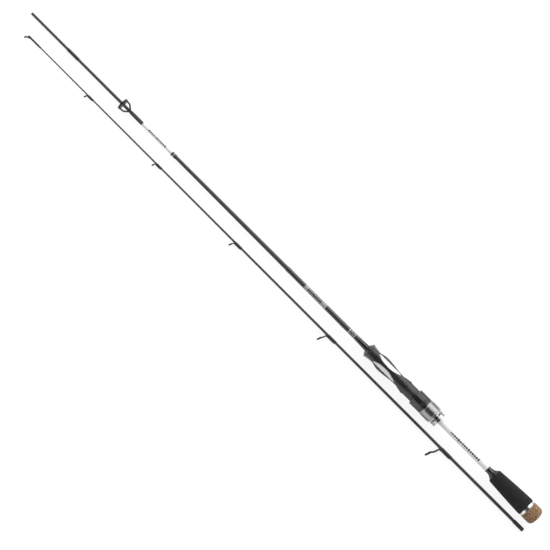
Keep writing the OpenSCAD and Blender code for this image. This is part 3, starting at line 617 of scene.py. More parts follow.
def spine_half(x):
    if x < SPINE_X:
        return ease(SPINE_SIDE, SHOULDER_R, min((SPINE_X - x) / (SPINE_X - SHOULDER_X), 1))
    return blend_to(SPINE_SIDE, MOUTH_R, min((x - SPINE_X) / (MOUTH_X - SPINE_X), 1) ** 3)


def body_r(x, turn):
    """The round body of the saddle with its two facets."""
    lean = abs(turn) - FACET_TILT
    flat = FACET_HEIGHT / cos(lean) if abs(lean) < 1.2 else 99
    return smooth_min(saddle_r(x), flat, 0.5)


def turn_at(x, side):
    """How far round the body lies a line that far out to the side."""
    low, high = 0.0, radians(85)
    for _ in range(30):
        mid = (low + high) / 2
        low, high = (mid, high) if body_r(x, mid) * sin(mid) < side else (low, mid)
    return low


def spine_r(x, turn):
    top = smooth_min(FOOT_LINE / max(cos(turn), 0.02), SPINE_TOP, 0.4)
    side = spine_half(x) / max(sin(turn), 0.02)
    return smooth_min(top, side, 0.9)


def panel_sides(x):
    """The inner and outer edge of a side panel, measured out from the axis."""
    inner = min(spine_half(x), 0.97 * saddle_r(x))
    outer = max(min(PANEL_REACH, saddle_r(x) - PANEL_RIM), inner + 0.1)
    ends = min((x - LEAF_REAR) / 2, (LEAF_FRONT - x) / 2, 1)
    if ends <= 0:
        return inner, inner + 0.1
    return inner, inner + max((outer - inner) * ends ** 0.5, 0.1)


def seat_turns(x):
    """Turns from the crown to the keyway, so that lines of the mesh follow the edges."""
    x = min(max(x, SHOULDER_X), MOUTH_X)
    inner, outer = panel_sides(x)
    at_inner, at_outer = turn_at(x, inner), turn_at(x, outer)
    crest = min(atan2(spine_half(x), FOOT_LINE), at_inner * 0.93)
    turns = [crest * i / 10 for i in range(11)] + [blend_to(crest, at_inner, i / 6) for i in range(1, 7)]
    turns += [at_inner + 0.004] + [blend_to(at_inner + 0.006, at_outer - 0.006, i / 10) for i in range(11)]
    turns += [at_outer - 0.004, at_outer] + [blend_to(at_outer, KEY_TURN, i / 24) for i in range(1, 25)]
    return turns + [blend_to(KEY_TURN + 0.004, pi, i / 3) for i in range(4)]


FIRST_PANEL, LAST_PANEL = 17, 29


def around_row(x, radius, half_turns=None):
    """One closed row round the axis; radius(half turn, index, full turn) is asked for both sides."""
    half = list(enumerate(half_turns or seat_turns(x)))
    row = [(t, i, t) for i, t in half] + [(2 * pi - t, i, t) for i, t in half[-2:0:-1]]
    return [at_turn(x, radius(t, i, full), full) for full, i, t in row]


def round_row(x, r, half_turns=None):
    return around_row(x, lambda *_: r, half_turns)


def barrel_row(x, cut=0.0):
    def radius(t, i, full):
        if t > KEY_TURN + 0.002:
            return KEY_FLOOR / -cos(t)
        wave = abs(((x / THREAD_PITCH + full / (2 * pi)) % 1) * 2 - 1)
        fade = min(1, max(0, (x - seat_x0 - 0.6) / 1.2), max(0, (SHOULDER_X - 1.2 - x) / 2))
        return BARREL_R - cut - THREAD_DEEP * fade * min(1, max(0, 1.35 * wave - 0.1))
    return around_row(x, radius)


def saddle_row(x):
    def radius(t, i, _):
        r = body_r(x, t)
        if i < FIRST_PANEL - 1:
            r = max(r, spine_r(x, t))
        elif LEAF_REAR < x < LEAF_FRONT and FIRST_PANEL <= i <= LAST_PANEL:
            r -= PANEL_DEEP
        if cos(t) > 0.1:
            r = min(r, FOOT_LINE / cos(t))
        return r
    return around_row(x, radius)


def arch_r(turn, top, half_wide, power):
    """The polar radius of an arch over the axis, flat-sided below it."""
    if cos(turn) <= 0.02:
        return 0
    return ((cos(turn) / top) ** power + (abs(sin(turn)) / half_wide) ** power) ** (-1 / power)


ARCH_TOP, ARCH_HALF, ARCH_POWER = 17.1, 9.3, 3.0
BROW_X, BROW_SLOPE, BROW_END = 336.3, tan(radians(30)), 341.4


def front_hood_row(x, draw=0.0):
    share = (x - MOUTH_X) / (WIDE_X - MOUTH_X)
    if share <= 1:
        body = blend_to(MOUTH_R, HOOD_R, share ** 1.1)
    else:
        body = blend_to(HOOD_R, NOSE_R, ((x - WIDE_X) / (seat_x1 - WIDE_X)) ** 1.15)
    top = ARCH_TOP - max(0, x - BROW_X) * BROW_SLOPE - max(0, x - 339.6) * 1.6

    def radius(t, *_):
        arch = arch_r(t, max(top, 1), ARCH_HALF, ARCH_POWER) if x < BROW_END else 0
        return -smooth_min(-body, -arch, 1.2) - draw
    return around_row(x, radius)


ROW_STEP, RAMP_LONG, RAMP_ROWS, SADDLE_ROWS, HOOD_ROWS, EDGE = 0.25, 1.2, 8, 84, 44, 0.35
seat_rows = [round_row(seat_x0, SEAT_BORE), barrel_row(seat_x0, 0.7)]
seat_rows += [barrel_row(seat_x0 + 0.4 + ROW_STEP * i)
              for i in range(int((SHOULDER_X - seat_x0 - 0.4) / ROW_STEP))]
seat_rows.append(round_row(SHOULDER_X - ROW_STEP, BARREL_R))
for i in range(RAMP_ROWS):
    up = sin(i / RAMP_ROWS * pi / 2)
    row = []
    for point in saddle_row(SHOULDER_X + RAMP_LONG * i / RAMP_ROWS):
        out = Vector((point.y, point.z))
        row.append(Vector((point.x, *(out * blend_to(BARREL_R / max(out.length, 1), 1, up)))))
    seat_rows.append(row)
seat_rows += [saddle_row(blend_to(SHOULDER_X + RAMP_LONG, MOUTH_X - 0.02, i / SADDLE_ROWS))
              for i in range(SADDLE_ROWS + 1)]
seat_rows += [front_hood_row(MOUTH_X, EDGE), front_hood_row(MOUTH_X + 0.12, 0.12)]
seat_rows += [front_hood_row(blend_to(MOUTH_X + EDGE, seat_x1 - 0.3, i / HOOD_ROWS)) for i in range(HOOD_ROWS + 1)]
seat_rows += [round_row(x, r) for x, r in ((seat_x1, NOSE_R - 0.3), (seat_x1, 3.92), (BORE_STEP, NOSE_BORE),
                                           (BORE_STEP, SEAT_BORE), (270.0, SEAT_BORE))]


def pocket_cutter(x0, x1, bottom):
    """The hollow under a hood, for the reel's foot."""
    outline = [(-POCKET_HALF, bottom), (POCKET_HALF, bottom)]
    for side, start in ((1, 0), (-1, 90)):
        for i in range(9):
            a = radians(start + 90 * i / 8)
            outline.append((side * (POCKET_HALF - POCKET_CORNER) + POCKET_CORNER * cos(a),
                            POCKET_TOP - POCKET_CORNER + POCKET_CORNER * sin(a)))
    rows = [[Vector((x, y, z)) for y, z in outline] for x in (x0, x1)]
    centre = [[Vector((x, 0, (bottom + POCKET_TOP) / 2))] for x in (x0, x1)]
    return skin([centre[0], rows[0], rows[1], centre[1]])


def baked(piece, modifier):
    """Makes what a modifier gives the piece's own mesh."""
    bpy.context.view_layer.update()
    made = bpy.data.meshes.new_from_object(piece.evaluated_get(bpy.context.evaluated_depsgraph_get()))
    piece.modifiers.remove(modifier)
    piece.data = made


def carve(piece, cutter_shape):
    """Cuts a hollow into a piece that is still in its section's frame."""
    cutter = raw_object("cutter", cutter_shape, piece.data.materials[0])
    face_out(piece.data)
    face_out(cutter.data)
    cut = piece.modifiers.new("cut", "BOOLEAN")
    cut.operation, cut.solver, cut.object = "DIFFERENCE", "EXACT", cutter
    baked(piece, cut)
    bpy.data.objects.remove(cutter)


POCKET_DEEP, POCKET_TOP, POCKET_HALF, POCKET_CORNER = 9, 15.3, 7.5, 4.6
seat = raw_object("reel_seat_moulding", skin(seat_rows, True), seat_black)
carve(seat, pocket_cutter(MOUTH_X - 0.33, MOUTH_X + POCKET_DEEP, 10.22))
finish_piece(seat, "butt_section", "reel_seat", sharp=34)

# ---- Pearl side panels --------------------------------------------------------------------------
# Two leaf-shaped inlays, lacquered pearl white and polished, glued into the saddle's facets. The
# facet outside each leaf stays black.
pearl, tree, surface, where, _ = clouded("pearl_lacquer", butt, 0.35, 3, (0.74, 0.74, 0.735),
                                         (0.82, 0.82, 0.81), 0.12, 0.2)
bump(tree, surface, cells_of(tree, where, 9.0)["Distance"], 0.003, 0.3)
LEAF_ROWS = 60


def capped(rows):
    """A skin over rows, closed at both ends to the middle of its first and last row."""
    first, last = ([sum(rows[end], Vector()) / len(rows[end])] for end in (0, -1))
    return skin([first] + rows + [last])


def panel_leaf(side):
    rows = []
    for k in range(LEAF_ROWS + 1):
        x = blend_to(LEAF_REAR, LEAF_FRONT, k / LEAF_ROWS)
        inner, outer = panel_sides(x)
        a, b = turn_at(x, inner) + 0.008, turn_at(x, outer) - 0.008
        b = max(b, a + 0.002)
        row = []
        for i in range(15):
            t = blend_to(a, b, i / 14)
            drop = 0.22 * (1 - sin(pi * min(i, 14 - i, 2) / 4)) + 0.06
            r = min(body_r(x, t), FOOT_LINE / max(cos(t), 0.1)) - drop
            row.append((t, r))
        row += [(t, body_r(x, t) - 1.0) for t in (b, (a + b) / 2, a)]
        rows.append([at_turn(x, r, side * t) for t, r in row])
    return capped(rows)


for label, side in (("left", 1), ("right", -1)):
    mesh_piece("pearl_panel_" + label, panel_leaf(side), pearl, "butt_section",
               "seat_panel_" + label, sharp=50)

# ---- Moving hood --------------------------------------------------------------------------------
# The collar that clamps the rear of the reel's foot. It slides on the barrel, kept from turning by
# a key, and its neck turns inside the nut that drives it. Moulded in the seat's black plastic.
hood_x0, hood_x1, _ = span("moving_hood", butt)
HOOD_FACE, COLLAR_R, COLLAR_EDGE, SLIDE_R = 226.7, 12.8, 1.1, 10.35
NECK_R, NECK_LIP_R, NECK_LIP_X = 11.2, 11.7, 223.0
RISE_X, RISE_SLOPE = HOOD_FACE + 3, tan(radians(42))
HOOD_TURNS = [pi * k / 60 for k in range(61)]


def hood_row(x):
    near = min(x - HOOD_FACE, hood_x1 - x, COLLAR_EDGE)
    swell = COLLAR_R - COLLAR_EDGE + sqrt(max(COLLAR_EDGE ** 2 - (COLLAR_EDGE - near) ** 2, 0))
    top = min(ARCH_TOP, ARCH_TOP - (RISE_X + 5 - x) * RISE_SLOPE)
    top -= 0.45 * (1 - min((hood_x1 - x) / 0.6, 1)) ** 2

    def radius(t, *_):
        arch = arch_r(t, max(top, 1), ARCH_HALF - 0.1, ARCH_POWER) if x > RISE_X else 0
        return -smooth_min(-swell, -arch, 0.8)
    return around_row(x, radius, HOOD_TURNS)


hood_stations = [HOOD_FACE + COLLAR_EDGE * (1 - cos(pi / 2 * i / 6)) for i in range(7)]
hood_stations += [blend_to(HOOD_FACE + COLLAR_EDGE, hood_x1 - COLLAR_EDGE, i / 40) for i in range(1, 41)]
hood_stations += [hood_x1 - COLLAR_EDGE * (1 - sin(pi / 2 * i / 6)) for i in range(1, 6)]
hood_rows = [round_row(x, r, HOOD_TURNS) for x, r in (
    (hood_x0, SLIDE_R), (hood_x0, NECK_LIP_R), (NECK_LIP_X, NECK_LIP_R), (NECK_LIP_X + 0.1, NECK_R),
    (HOOD_FACE - 0.01, NECK_R))]
hood_rows += [hood_row(x) for x in hood_stations + [hood_x1 - 0.001]] + [round_row(hood_x1, SLIDE_R, HOOD_TURNS)]
hood_black = moulded_plastic("hood_plastic", 0.009, 0.014, 0.17, 0.24)
hood = raw_object("moving_hood_moulding", skin(hood_rows, True), hood_black)
carve(hood, pocket_cutter(hood_x1 - POCKET_DEEP, hood_x1 + 1, 8.0))
finish_piece(hood, "hood", "moving_hood", sharp=34)

# ---- Locking nut --------------------------------------------------------------------------------
# A satin aluminium sleeve with rounded ribs all round for the fingers, pressed over a dark plastic
# insert that carries the thread.
satin = bright_metal("satin_aluminium", (0.30, 0.302, 0.308), 0.2, butt, 7.0, 0.003)


def new_tree(name, inputs):
    """An empty geometry tree with named inputs and one geometry output."""
    tree = bpy.data.node_groups.new(name, "GeometryNodeTree")
    tree.interface.new_socket("Geometry", in_out="INPUT", socket_type="NodeSocketGeometry")
    for label, kind in inputs:
        tree.interface.new_socket(label, in_out="INPUT", socket_type="NodeSocket" + kind)
    tree.interface.new_socket("Geometry", in_out="OUTPUT", socket_type="NodeSocketGeometry")
    return tree, tree.nodes.new("NodeGroupInput").outputs, tree.nodes.new("NodeGroupOutput").inputs


def grow(host, tree, **values):
    """Runs a geometry tree on an object and keeps its result as the object's plain mesh."""
    grown = host.modifiers.new("grown", "NODES")
    grown.node_group = tree
    for item in tree.interface.items_tree:
        if item.in_out == "INPUT" and item.name in values:
            grown[item.identifier] = values[item.name]
    baked(host, grown)


def end_tree(tree, grown, given, result):
    """Joins what was grown to its host, makes it real and gives it its finish."""
    both = add(tree, "GeometryNodeJoinGeometry")
    tree.links.new(grown, both.inputs[0])
    tree.links.new(given["Geometry"], both.inputs[0])
    solid = add(tree, "GeometryNodeRealizeInstances", {"Geometry": both.outputs[0]})
    coated = add(tree, "GeometryNodeSetMaterial", {"Geometry": solid.outputs[0], "Material": given["Finish"]})
    tree.links.new(coated.outputs[0], result["Geometry"])


rib_ring, given, result = new_tree("ring_of_copies", [
    ("Copy", "Object"), ("Count", "Int"), ("Finish", "Material")])
copy = add(rib_ring, "GeometryNodeObjectInfo", {"Object": given["Copy"]})
spots = add(rib_ring, "GeometryNodeMeshLine", {"Count": given["Count"], "Offset": (0, 0, 0)})
number = add(rib_ring, "GeometryNodeInputIndex").outputs[0]
turn = calc(rib_ring, "MULTIPLY", calc(rib_ring, "DIVIDE", number, given["Count"]), 2 * pi)
placed = add(rib_ring, "GeometryNodeInstanceOnPoints", {
    "Points": spots.outputs["Mesh"], "Instance": copy.outputs["Geometry"],
    "Rotation": add(rib_ring, "ShaderNodeCombineXYZ", {"X": turn}).outputs[0]})
end_tree(rib_ring, placed.outputs["Instances"], given, result)

nut_x0, nut_x1, nut_r = span("nut_shell", butt)
NUT_BORE, NUT_RIBS, RIB_TALL, RIB_WIDE, RIB_INSET, RIB_ROWS = 12.32, 30, 0.42, radians(9), 1.5, 16
core_r, rim_r = nut_r - 0.03 - RIB_TALL, nut_r - 0.05
nut = raw_object("ribbed_nut", collar([
    (nut_x0, NUT_BORE), (nut_x0, rim_r), (nut_x0 + 1.3, rim_r), (nut_x0 + 1.7, core_r),
    (nut_x1 - 1.7, core_r), (nut_x1 - 1.3, rim_r), (nut_x1, rim_r), (nut_x1, NUT_BORE)], 0.35, 5, 128), satin)
rib_rows = []
for k in range(RIB_ROWS + 1):
    share = k / RIB_ROWS
    lift = RIB_TALL * min(1, sin(pi * share) * 4) ** 0.5
    x = blend_to(nut_x0 + RIB_INSET, nut_x1 - RIB_INSET, share)
    row = []
    for j in range(9):
        t = RIB_WIDE * (j / 8 - 0.5)
        r = core_r - 0.05 + (lift + 0.05) * min(1, 3 * sin(pi * j / 8)) ** 0.5
        row.append(at_turn(x, r, t))
    row.append(Vector((x, 0, core_r - 0.3)))
    rib_rows.append(row)
rib = raw_object("rib", skin([[Vector((rib_rows[0][0].x, 0, core_r - 0.2))]] + rib_rows
                             + [[Vector((rib_rows[-1][0].x, 0, core_r - 0.2))]]), satin)
grow(nut, rib_ring, Copy=rib, Count=NUT_RIBS, Finish=satin)
bpy.data.objects.remove(rib)
finish_piece(nut, "nut", "nut_shell", sharp=50)

# ---- Nut insert and arbors ----------------------------------------------------------------------
# The insert inside the nut is dark moulded plastic. The arbors that carry the seat on the blank are
# rigid grey foam with a coarse, turned surface. Both keep their modelled shape.


def dress(node, material):
    """Gives a CAD node that stays its finish."""
    mesh = frame["nodes"][node].data
    mesh.materials.clear()
    mesh.materials.append(material)


insert_plastic, tree, surface, _, speckle = clouded(
    "insert_plastic", butt, 1.2, 5, (0.014, 0.014, 0.015), (0.028, 0.028, 0.029), 0.4)
bump(tree, surface, speckle, 0.01, 0.5)
dress("nut_insert", insert_plastic)

arbor_foam, tree, surface = new_material("arbor_foam", (0.26, 0.26, 0.24), 0.9)
pores = cells_of(tree, local(tree, butt), 2.6)["Distance"]
paint(tree, surface, mix_colour(tree, pores, (0.30, 0.30, 0.275), (0.17, 0.17, 0.155)))
bump(tree, surface, pores, 0.12, 0.7)
dress("seat_arbors", arbor_foam)

# ---- Pierced nut ring ---------------------------------------------------------------------------
# The bright cage behind the nut: a flange, ten slots that show the barrel's thread, and a cone that
# runs up to the nut.
dress("nut_ring", bright_metal("cage_steel", (0.42, 0.425, 0.435), 0.14, butt, 8.0))
cage = frame["nodes"]["nut_ring"]
weld = cage.modifiers.new("weld", "WELD")
weld.merge_threshold = 0.000002
edges = cage.modifiers.new("soft_edges", "BEVEL")
edges.width, edges.segments, edges.limit_method, edges.angle_limit = 0.00012, 2, "ANGLE", radians(40)
edges.harden_normals = False

# ---- Fore check ---------------------------------------------------------------------------------
# A slim dark metal cone in front of the reel seat. It carries the line of the hood down to the
# blank and ends in a small bead.
fore_x0, fore_x1, fore_r = span("fore_check", butt)
fore_rear_r, fore_blank_r = fore_r - 0.01, butt_radius(fore_x1)
fore_corners = [(fore_x0, butt_radius(fore_x0) + 0.02), (fore_x0, fore_rear_r)]
for step in range(1, 13):
    share = step / 12
    fore_corners.append((blend_to(fore_x0 + 0.4, fore_x1 - 1.3, share), ease(fore_rear_r, fore_blank_r + 0.4, share)))
fore_corners += [(fore_x1 - 1.0, fore_blank_r + 0.6), (fore_x1, fore_blank_r + 0.58), (fore_x1, fore_blank_r + 0.02)]
mesh_piece("fore_check_cone", collar(fore_corners, 0.15, 3, 72), dark_metal, "butt_section",
           "fore_check")

# ---- Lacquered label wrap -----------------------------------------------------------------------
# Two lengths of thread wound close round the blank under thick clear lacquer: black, with a short
# and a long inlay of silver foil that carry nothing but their own crackle.


def foil_material(name, place, bright_zones, marks):
    material, tree, surface = new_material(name, roughness=0.14)
    where, along, turn = station_and_turn(tree, place)
    crackle = add(tree, "ShaderNodeSeparateColor", {"Color": cells_of(tree, where, 0.9)["Color"]}).outputs["Red"]
    mottle = noise_of(tree, where, 0.5, 3)
    foil = mix_colour(tree, crackle, (0.20, 0.20, 0.205), (0.42, 0.42, 0.43))
    foil = mix_colour(tree, spread(tree, mottle, 0.45, 0.62), foil, (0.12, 0.12, 0.125))
    black = mix_colour(tree, mottle, (0.012, 0.012, 0.013), (0.026, 0.026, 0.028))
    shown = zones(tree, along, bright_zones)
    printed = scale_marks(tree, along, turn, marks)
    paint(tree, surface, mix_colour(tree, printed, mix_colour(tree, shown, black, foil), black))
    surface.inputs["Coat Weight"].default_value = 0.5
    surface.inputs["Coat Roughness"].default_value = 0.05
    threads = calc(tree, "PINGPONG", calc(tree, "DIVIDE", along, LABEL_THREAD), 0.5)
    bump(tree, surface, calc(tree, "MULTIPLY", threads, calc(tree, "SUBTRACT", 1.0, shown)), 0.02, 0.4)
    return material


def sleeve(x0, x1, base, thick, taper, around=64):
    """A wound sleeve on a blank: thin at both ends, with rounded shoulders."""
    inner, edge = 0.02, 0.1
    corners = [(x0, base(x0) + inner), (x0, base(x0) + edge), (x0 + taper, base(x0) + thick)]
    corners += [(blend_to(x0, x1, s), base(blend_to(x0, x1, s)) + thick) for s in (0.25, 0.5, 0.75)
                if taper < (x1 - x0) * s < x1 - x0 - taper]
    corners += [(x1 - taper, base(x1) + thick), (x1, base(x1) + edge), (x1, base(x1) + inner)]
    return collar(corners, taper * 0.4, 4, around)


def join_shapes(shapes):
    points, faces = [], []
    for more_points, more_faces in shapes:
        faces += [tuple(i + len(points) for i in face) for face in more_faces]
        points += [tuple(p) for p in more_points]
    return points, faces


label_x0, label_x1, _ = span("label_wrap", butt)
LABEL_THREAD, LABEL_THICK, LABEL_TAPER, SPLIT_REAR, SPLIT_FRONT = 0.3, 0.3, 0.6, 390.0, 394.0
foil_lacquer = foil_material("label_lacquer", butt, [(label_x0 + 7, label_x0 + 20), (427, 470)],
                             [(label_x0 + 9.5, label_x0 + 18.4, 3.2, 1.4, 3.2), (437, 464, 2.7, 1.5, 0.55)])
mesh_piece("lacquered_label_wrap", join_shapes([
    sleeve(x0, x1, butt_radius, LABEL_THICK, LABEL_TAPER)
    for x0, x1 in ((label_x0, SPLIT_REAR), (SPLIT_FRONT, label_x1))]),
    foil_lacquer, "butt_section", "label_wrap")

# ---- Trim bands ---------------------------------------------------------------------------------
# Slim turned bands of dark polished metal: one splits the lacquered wrap, one ends it, and a pair
# stands farther on, where the white paint begins again.
band_metal = bright_metal("trim_metal", (0.085, 0.086, 0.089), 0.14, butt, 8.0)


def beaded_band(x0, x1, rise):
    """A band with a fine bead along each edge."""
    mid = rise * 0.78
    bead = min(0.9, (x1 - x0) * 0.22)
    heights = [(x0, 0.02), (x0, rise), (x0 + bead, rise), (x0 + bead * 1.3, mid), (x1 - bead * 1.3, mid),
               (x1 - bead, rise), (x1, rise), (x1, 0.02)]
    return collar([(x, butt_radius(x) + h) for x, h in heights], 0.14, 3, 64)


bands_x0, bands_x1, _ = span("trim_bands", butt)
mesh_piece("polished_trim_bands", join_shapes([beaded_band(x, x + wide, rise) for x, wide, rise in (
    (bands_x0, 4, 0.55), (label_x1, 6.5, 0.55), (DOUBLE_X, 3.8, 0.7), (bands_x1 - 3.8, 3.8, 0.7))]),
    band_metal, "butt_section", "trim_bands")

# ---- Thread wraps -------------------------------------------------------------------------------
# Black nylon thread, wound turn against turn and sealed in clear lacquer: it binds each guide's foot
# to the blank, guards the ferrule's stop and the socket's mouth, and ends the tip-top's tube.
winding, given, result = new_tree("thread_winding", [
    ("Start", "Float"), ("Length", "Float"), ("Turns", "Float"), ("Away", "Float"), ("Thread", "Float"),
    ("Sink", "Float"), ("Finish", "Material")])
coil = add(winding, "GeometryNodeCurveSpiral", {
    "Resolution": 24, "Rotations": given["Turns"], "Start Radius": given["Away"], "End Radius": given["Away"],
    "Height": given["Length"]})
laid = add(winding, "GeometryNodeTransform", {
    "Geometry": coil.outputs[0], "Rotation": (0, pi / 2, 0),
    "Translation": add(winding, "ShaderNodeCombineXYZ", {"X": given["Start"]}).outputs[0]})
spot = add(winding, "GeometryNodeInputPosition").outputs[0]


def vector(operation, *values):
    return add(winding, "ShaderNodeVectorMath", dict(zip((0, 3 if operation == "SCALE" else 1), values)),
               operation=operation).outputs[0]


inward = vector("NORMALIZE", vector("MULTIPLY", spot, (0, -1, -1)))
hit = add(winding, "GeometryNodeRaycast", {
    "Target Geometry": given["Geometry"], "Source Position": spot, "Ray Direction": inward, "Ray Length": 60.0})
target = vector("ADD", hit.outputs["Hit Position"], vector("SCALE", inward, given["Sink"]))
pulled = add(winding, "GeometryNodeSetPosition", {
    "Geometry": laid.outputs[0], "Selection": hit.outputs["Is Hit"], "Position": target})
thread_round = add(winding, "GeometryNodeCurvePrimitiveCircle", {"Resolution": 6, "Radius": given["Thread"]})
strand = add(winding, "GeometryNodeCurveToMesh", {
    "Curve": pulled.outputs[0], "Fill Caps": True, "Profile Curve": thread_round.outputs[0]})
end_tree(winding, strand.outputs[0], given, result)


def thread_material(name, place):
    material, tree, surface, where, fibres = clouded(
        name, place, 3.0, 4, (0.009, 0.009, 0.010), (0.020, 0.020, 0.0215), 0.2)
    vary_gloss(tree, surface, noise_of(tree, where, 0.5, 2), 0.14, 0.3)
    bump(tree, surface, fibres, 0.01, 0.4)
    return material


SECTIONS = (("butt_section", "butt", butt), ("tip_section", "tip", tip))
radius_of = {"butt_section": butt_radius, "tip_section": tip_radius}
thread_of = {body: thread_material(word + "_thread", place) for body, word, place in SECTIONS}
THREAD_R, THREAD_SINK, THREAD_STEP, THREAD_INSET = 0.13, 0.09, 0.27, 0.5


def wound(name, shape, x0, x1, body, node):
    """A wrap's body with its thread wound over it, nearly from end to end."""
    piece = raw_object(name, shape, thread_of[body])
    length = x1 - x0 - 2 * THREAD_INSET
    grow(piece, winding, Start=x0 + THREAD_INSET, Length=length, Turns=length / THREAD_STEP, Away=25.0,
         Thread=THREAD_R, Sink=THREAD_SINK, Finish=thread_of[body])
    finish_piece(piece, body, node, sharp=60)


FOOT_TALL, FOOT_WIDE, WRAP_SKIN, WRAP_ROWS, WRAP_SIDES = 0.8, 2.0, 0.3, 26, 48


def foot_wrap(x0, x1, base):
    """The wrap over a guide's foot: round below, raised over the foot, thin at its rear end."""
    rows = []
    for k in range(WRAP_ROWS + 1):
        x = blend_to(x0, x1, k / WRAP_ROWS)
        rise = (FOOT_TALL + 0.05) * ease(0, 1, min((x - x0) / 4.0, 1))
        inside = base(x) + 0.1 + WRAP_SKIN * min(1, (x - x0) / 0.8, (x1 - x) / 0.8 + 0.3)
        row = []
        for j in range(WRAP_SIDES):
            t = 2 * pi * j / WRAP_SIDES
            hump = exp(-(sin(t) * inside / (FOOT_WIDE * 0.62)) ** 2) if cos(t) > 0 else 0
            hump = max(hump, exp(-(min(t, 2 * pi - t) / 1.1) ** 2) * 0.75)
            row.append(at_turn(x, inside + rise * hump, t))
        rows.append(row)
    return skin(rows + turned([(x, base(x) + 0.02) for x in (x1, x0)], WRAP_SIDES), True)


for node, body, thick, taper, name in (
        ("ferrule_stop_wrap", "butt_section", 0.5, 1.2, "ferrule_stop_binding"),
        ("socket_wrap", "tip_section", 0.5, 1.2, "socket_mouth_binding"),
        ("top_wrap", "tip_section", 0.32, 0.8, "tip_top_binding")):
    x0, x1, _ = span(node, place_of[body])
    wound(name, sleeve(x0, x1, radius_of[body], thick, taper, 48), x0, x1, body, node)

STRIPPER_X, STRIPPER_WRAP = 821.0, 23.0
wraps = [("stripper", "butt_section", STRIPPER_X - STRIPPER_WRAP, STRIPPER_X)]
wraps += [("guide_%d" % number, "tip_section", *span("guide_%d_wrap" % number, tip)[:2]) for number in range(1, 6)]
for label, body, x0, x1 in wraps:
    wound(label + "_foot_binding", foot_wrap(x0, x1, radius_of[body]), x0, x1, body, label + "_wrap")

# ---- Line guides --------------------------------------------------------------------------------
# Each guide is a ring on two bent wire legs that run into one flat foot. The frames are steel wire
# and strip, coated black; the rings inside are polished grey ceramic.


def coated_steel(name, place):
    material, tree, surface = new_material(name, (0.03, 0.03, 0.033), 0.26, 0.75)
    worn = noise_of(tree, local(tree, place), 2.2, 5)
    rubbed = spread(tree, worn, 0.52, 0.8)
    paint(tree, surface, mix_colour(tree, rubbed, (0.026, 0.026, 0.029), (0.075, 0.076, 0.08)))
    vary_gloss(tree, surface, worn, 0.2, 0.36)
    bump(tree, surface, worn, 0.006, 0.5)
    return material


def ceramic_material(name, place):
    material, tree, surface, _, cloud = clouded(
        name, place, 0.8, 3, (0.038, 0.040, 0.045), (0.07, 0.072, 0.08), 0.07, 0.14)
    bump(tree, surface, cloud, 0.003, 0.3)
    return material


WIRE_SIDES, WIRE_STEPS = 12, 8


def wire(points, radius):
    """A round wire through the points on one smooth line, closed at both ends."""
    path = []
    pts = [Vector(p) for p in points]
    ends = [2 * pts[0] - pts[1]] + pts + [2 * pts[-1] - pts[-2]]
    for i in range(1, len(ends) - 2):
        a, b, c, d = ends[i - 1:i + 3]
        for k in range(WIRE_STEPS):
            t = k / WIRE_STEPS
            path.append(0.5 * (2 * b + (c - a) * t + (2 * a - 5 * b + 4 * c - d) * t * t
                               + (3 * b - a - 3 * c + d) * t ** 3))
    path.append(pts[-1])
    rows = []
    side = Vector((0, 1, 0.01))
    for i, p in enumerate(path):
        along = (path[min(i + 1, len(path) - 1)] - path[max(i - 1, 0)]).normalized()
        side = (side - along * side.dot(along)).normalized()
        other = along.cross(side)
        turns = [2 * pi * j / WIRE_SIDES for j in range(WIRE_SIDES)]
        rows.append([p + radius * (side * cos(t) + other * sin(t)) for t in turns])
    return skin([[path[0]]] + rows + [[path[-1]]])


def foot_strip(x0, x1, base):
    """The flat foot on the blank: its rear end is ground to a thin wedge, its front end is round."""
    rows = []
    for k in range(25):
        x = blend_to(x0, x1, k / 24)
        rise = FOOT_TALL * min(1, 0.25 + (x - x0) / 5)
        nose = sqrt(max(1 - ((x - x1 + 1) / 1.02) ** 2, 0.02)) if x > x1 - 1 else 1
        half = FOOT_WIDE / 2 * min(1, 0.5 + (x - x0) / 6, nose)
        outline = softened([(-half, 0), (half, 0), (half, rise), (-half, rise)], 0.25, 3)
        rows.append([Vector((x, y, base + z)) for y, z in outline])
    return capped(rows)


def leaning(x, height, lean):
    """The place of a ring that leans forward over the blank."""
    made = Matrix.Rotation(lean, 4, "Y")
    made.translation = Vector((x, 0, height))
    return made


def hoop(half, edge, seat_r, outer_r, around, ring):
    """The metal band of a ring, which the ceramic sits in."""
    return collar([(-half, seat_r), (-half, outer_r), (half, outer_r), (half, seat_r)], edge, 5, around,
                  lambda point: ring @ point)


def insert(half, flat, lip, edge, seat_r, bore_r, around, ring):
    """The ceramic in a ring, rounded so that the line runs over no edge."""
    return collar([(-half, seat_r), (-half, bore_r + lip), (-flat, bore_r), (flat, bore_r), (half, bore_r + lip),
                   (half, seat_r)], edge, 5, around, lambda point: ring @ point)


coat_of = {body: coated_steel(word + "_guide_coat", place) for body, word, place in SECTIONS}
ceramic_of = {body: ceramic_material(word + "_ceramic", place) for body, word, place in SECTIONS}
FOOT_NOSE, RING_SIDES = 1.9, 72


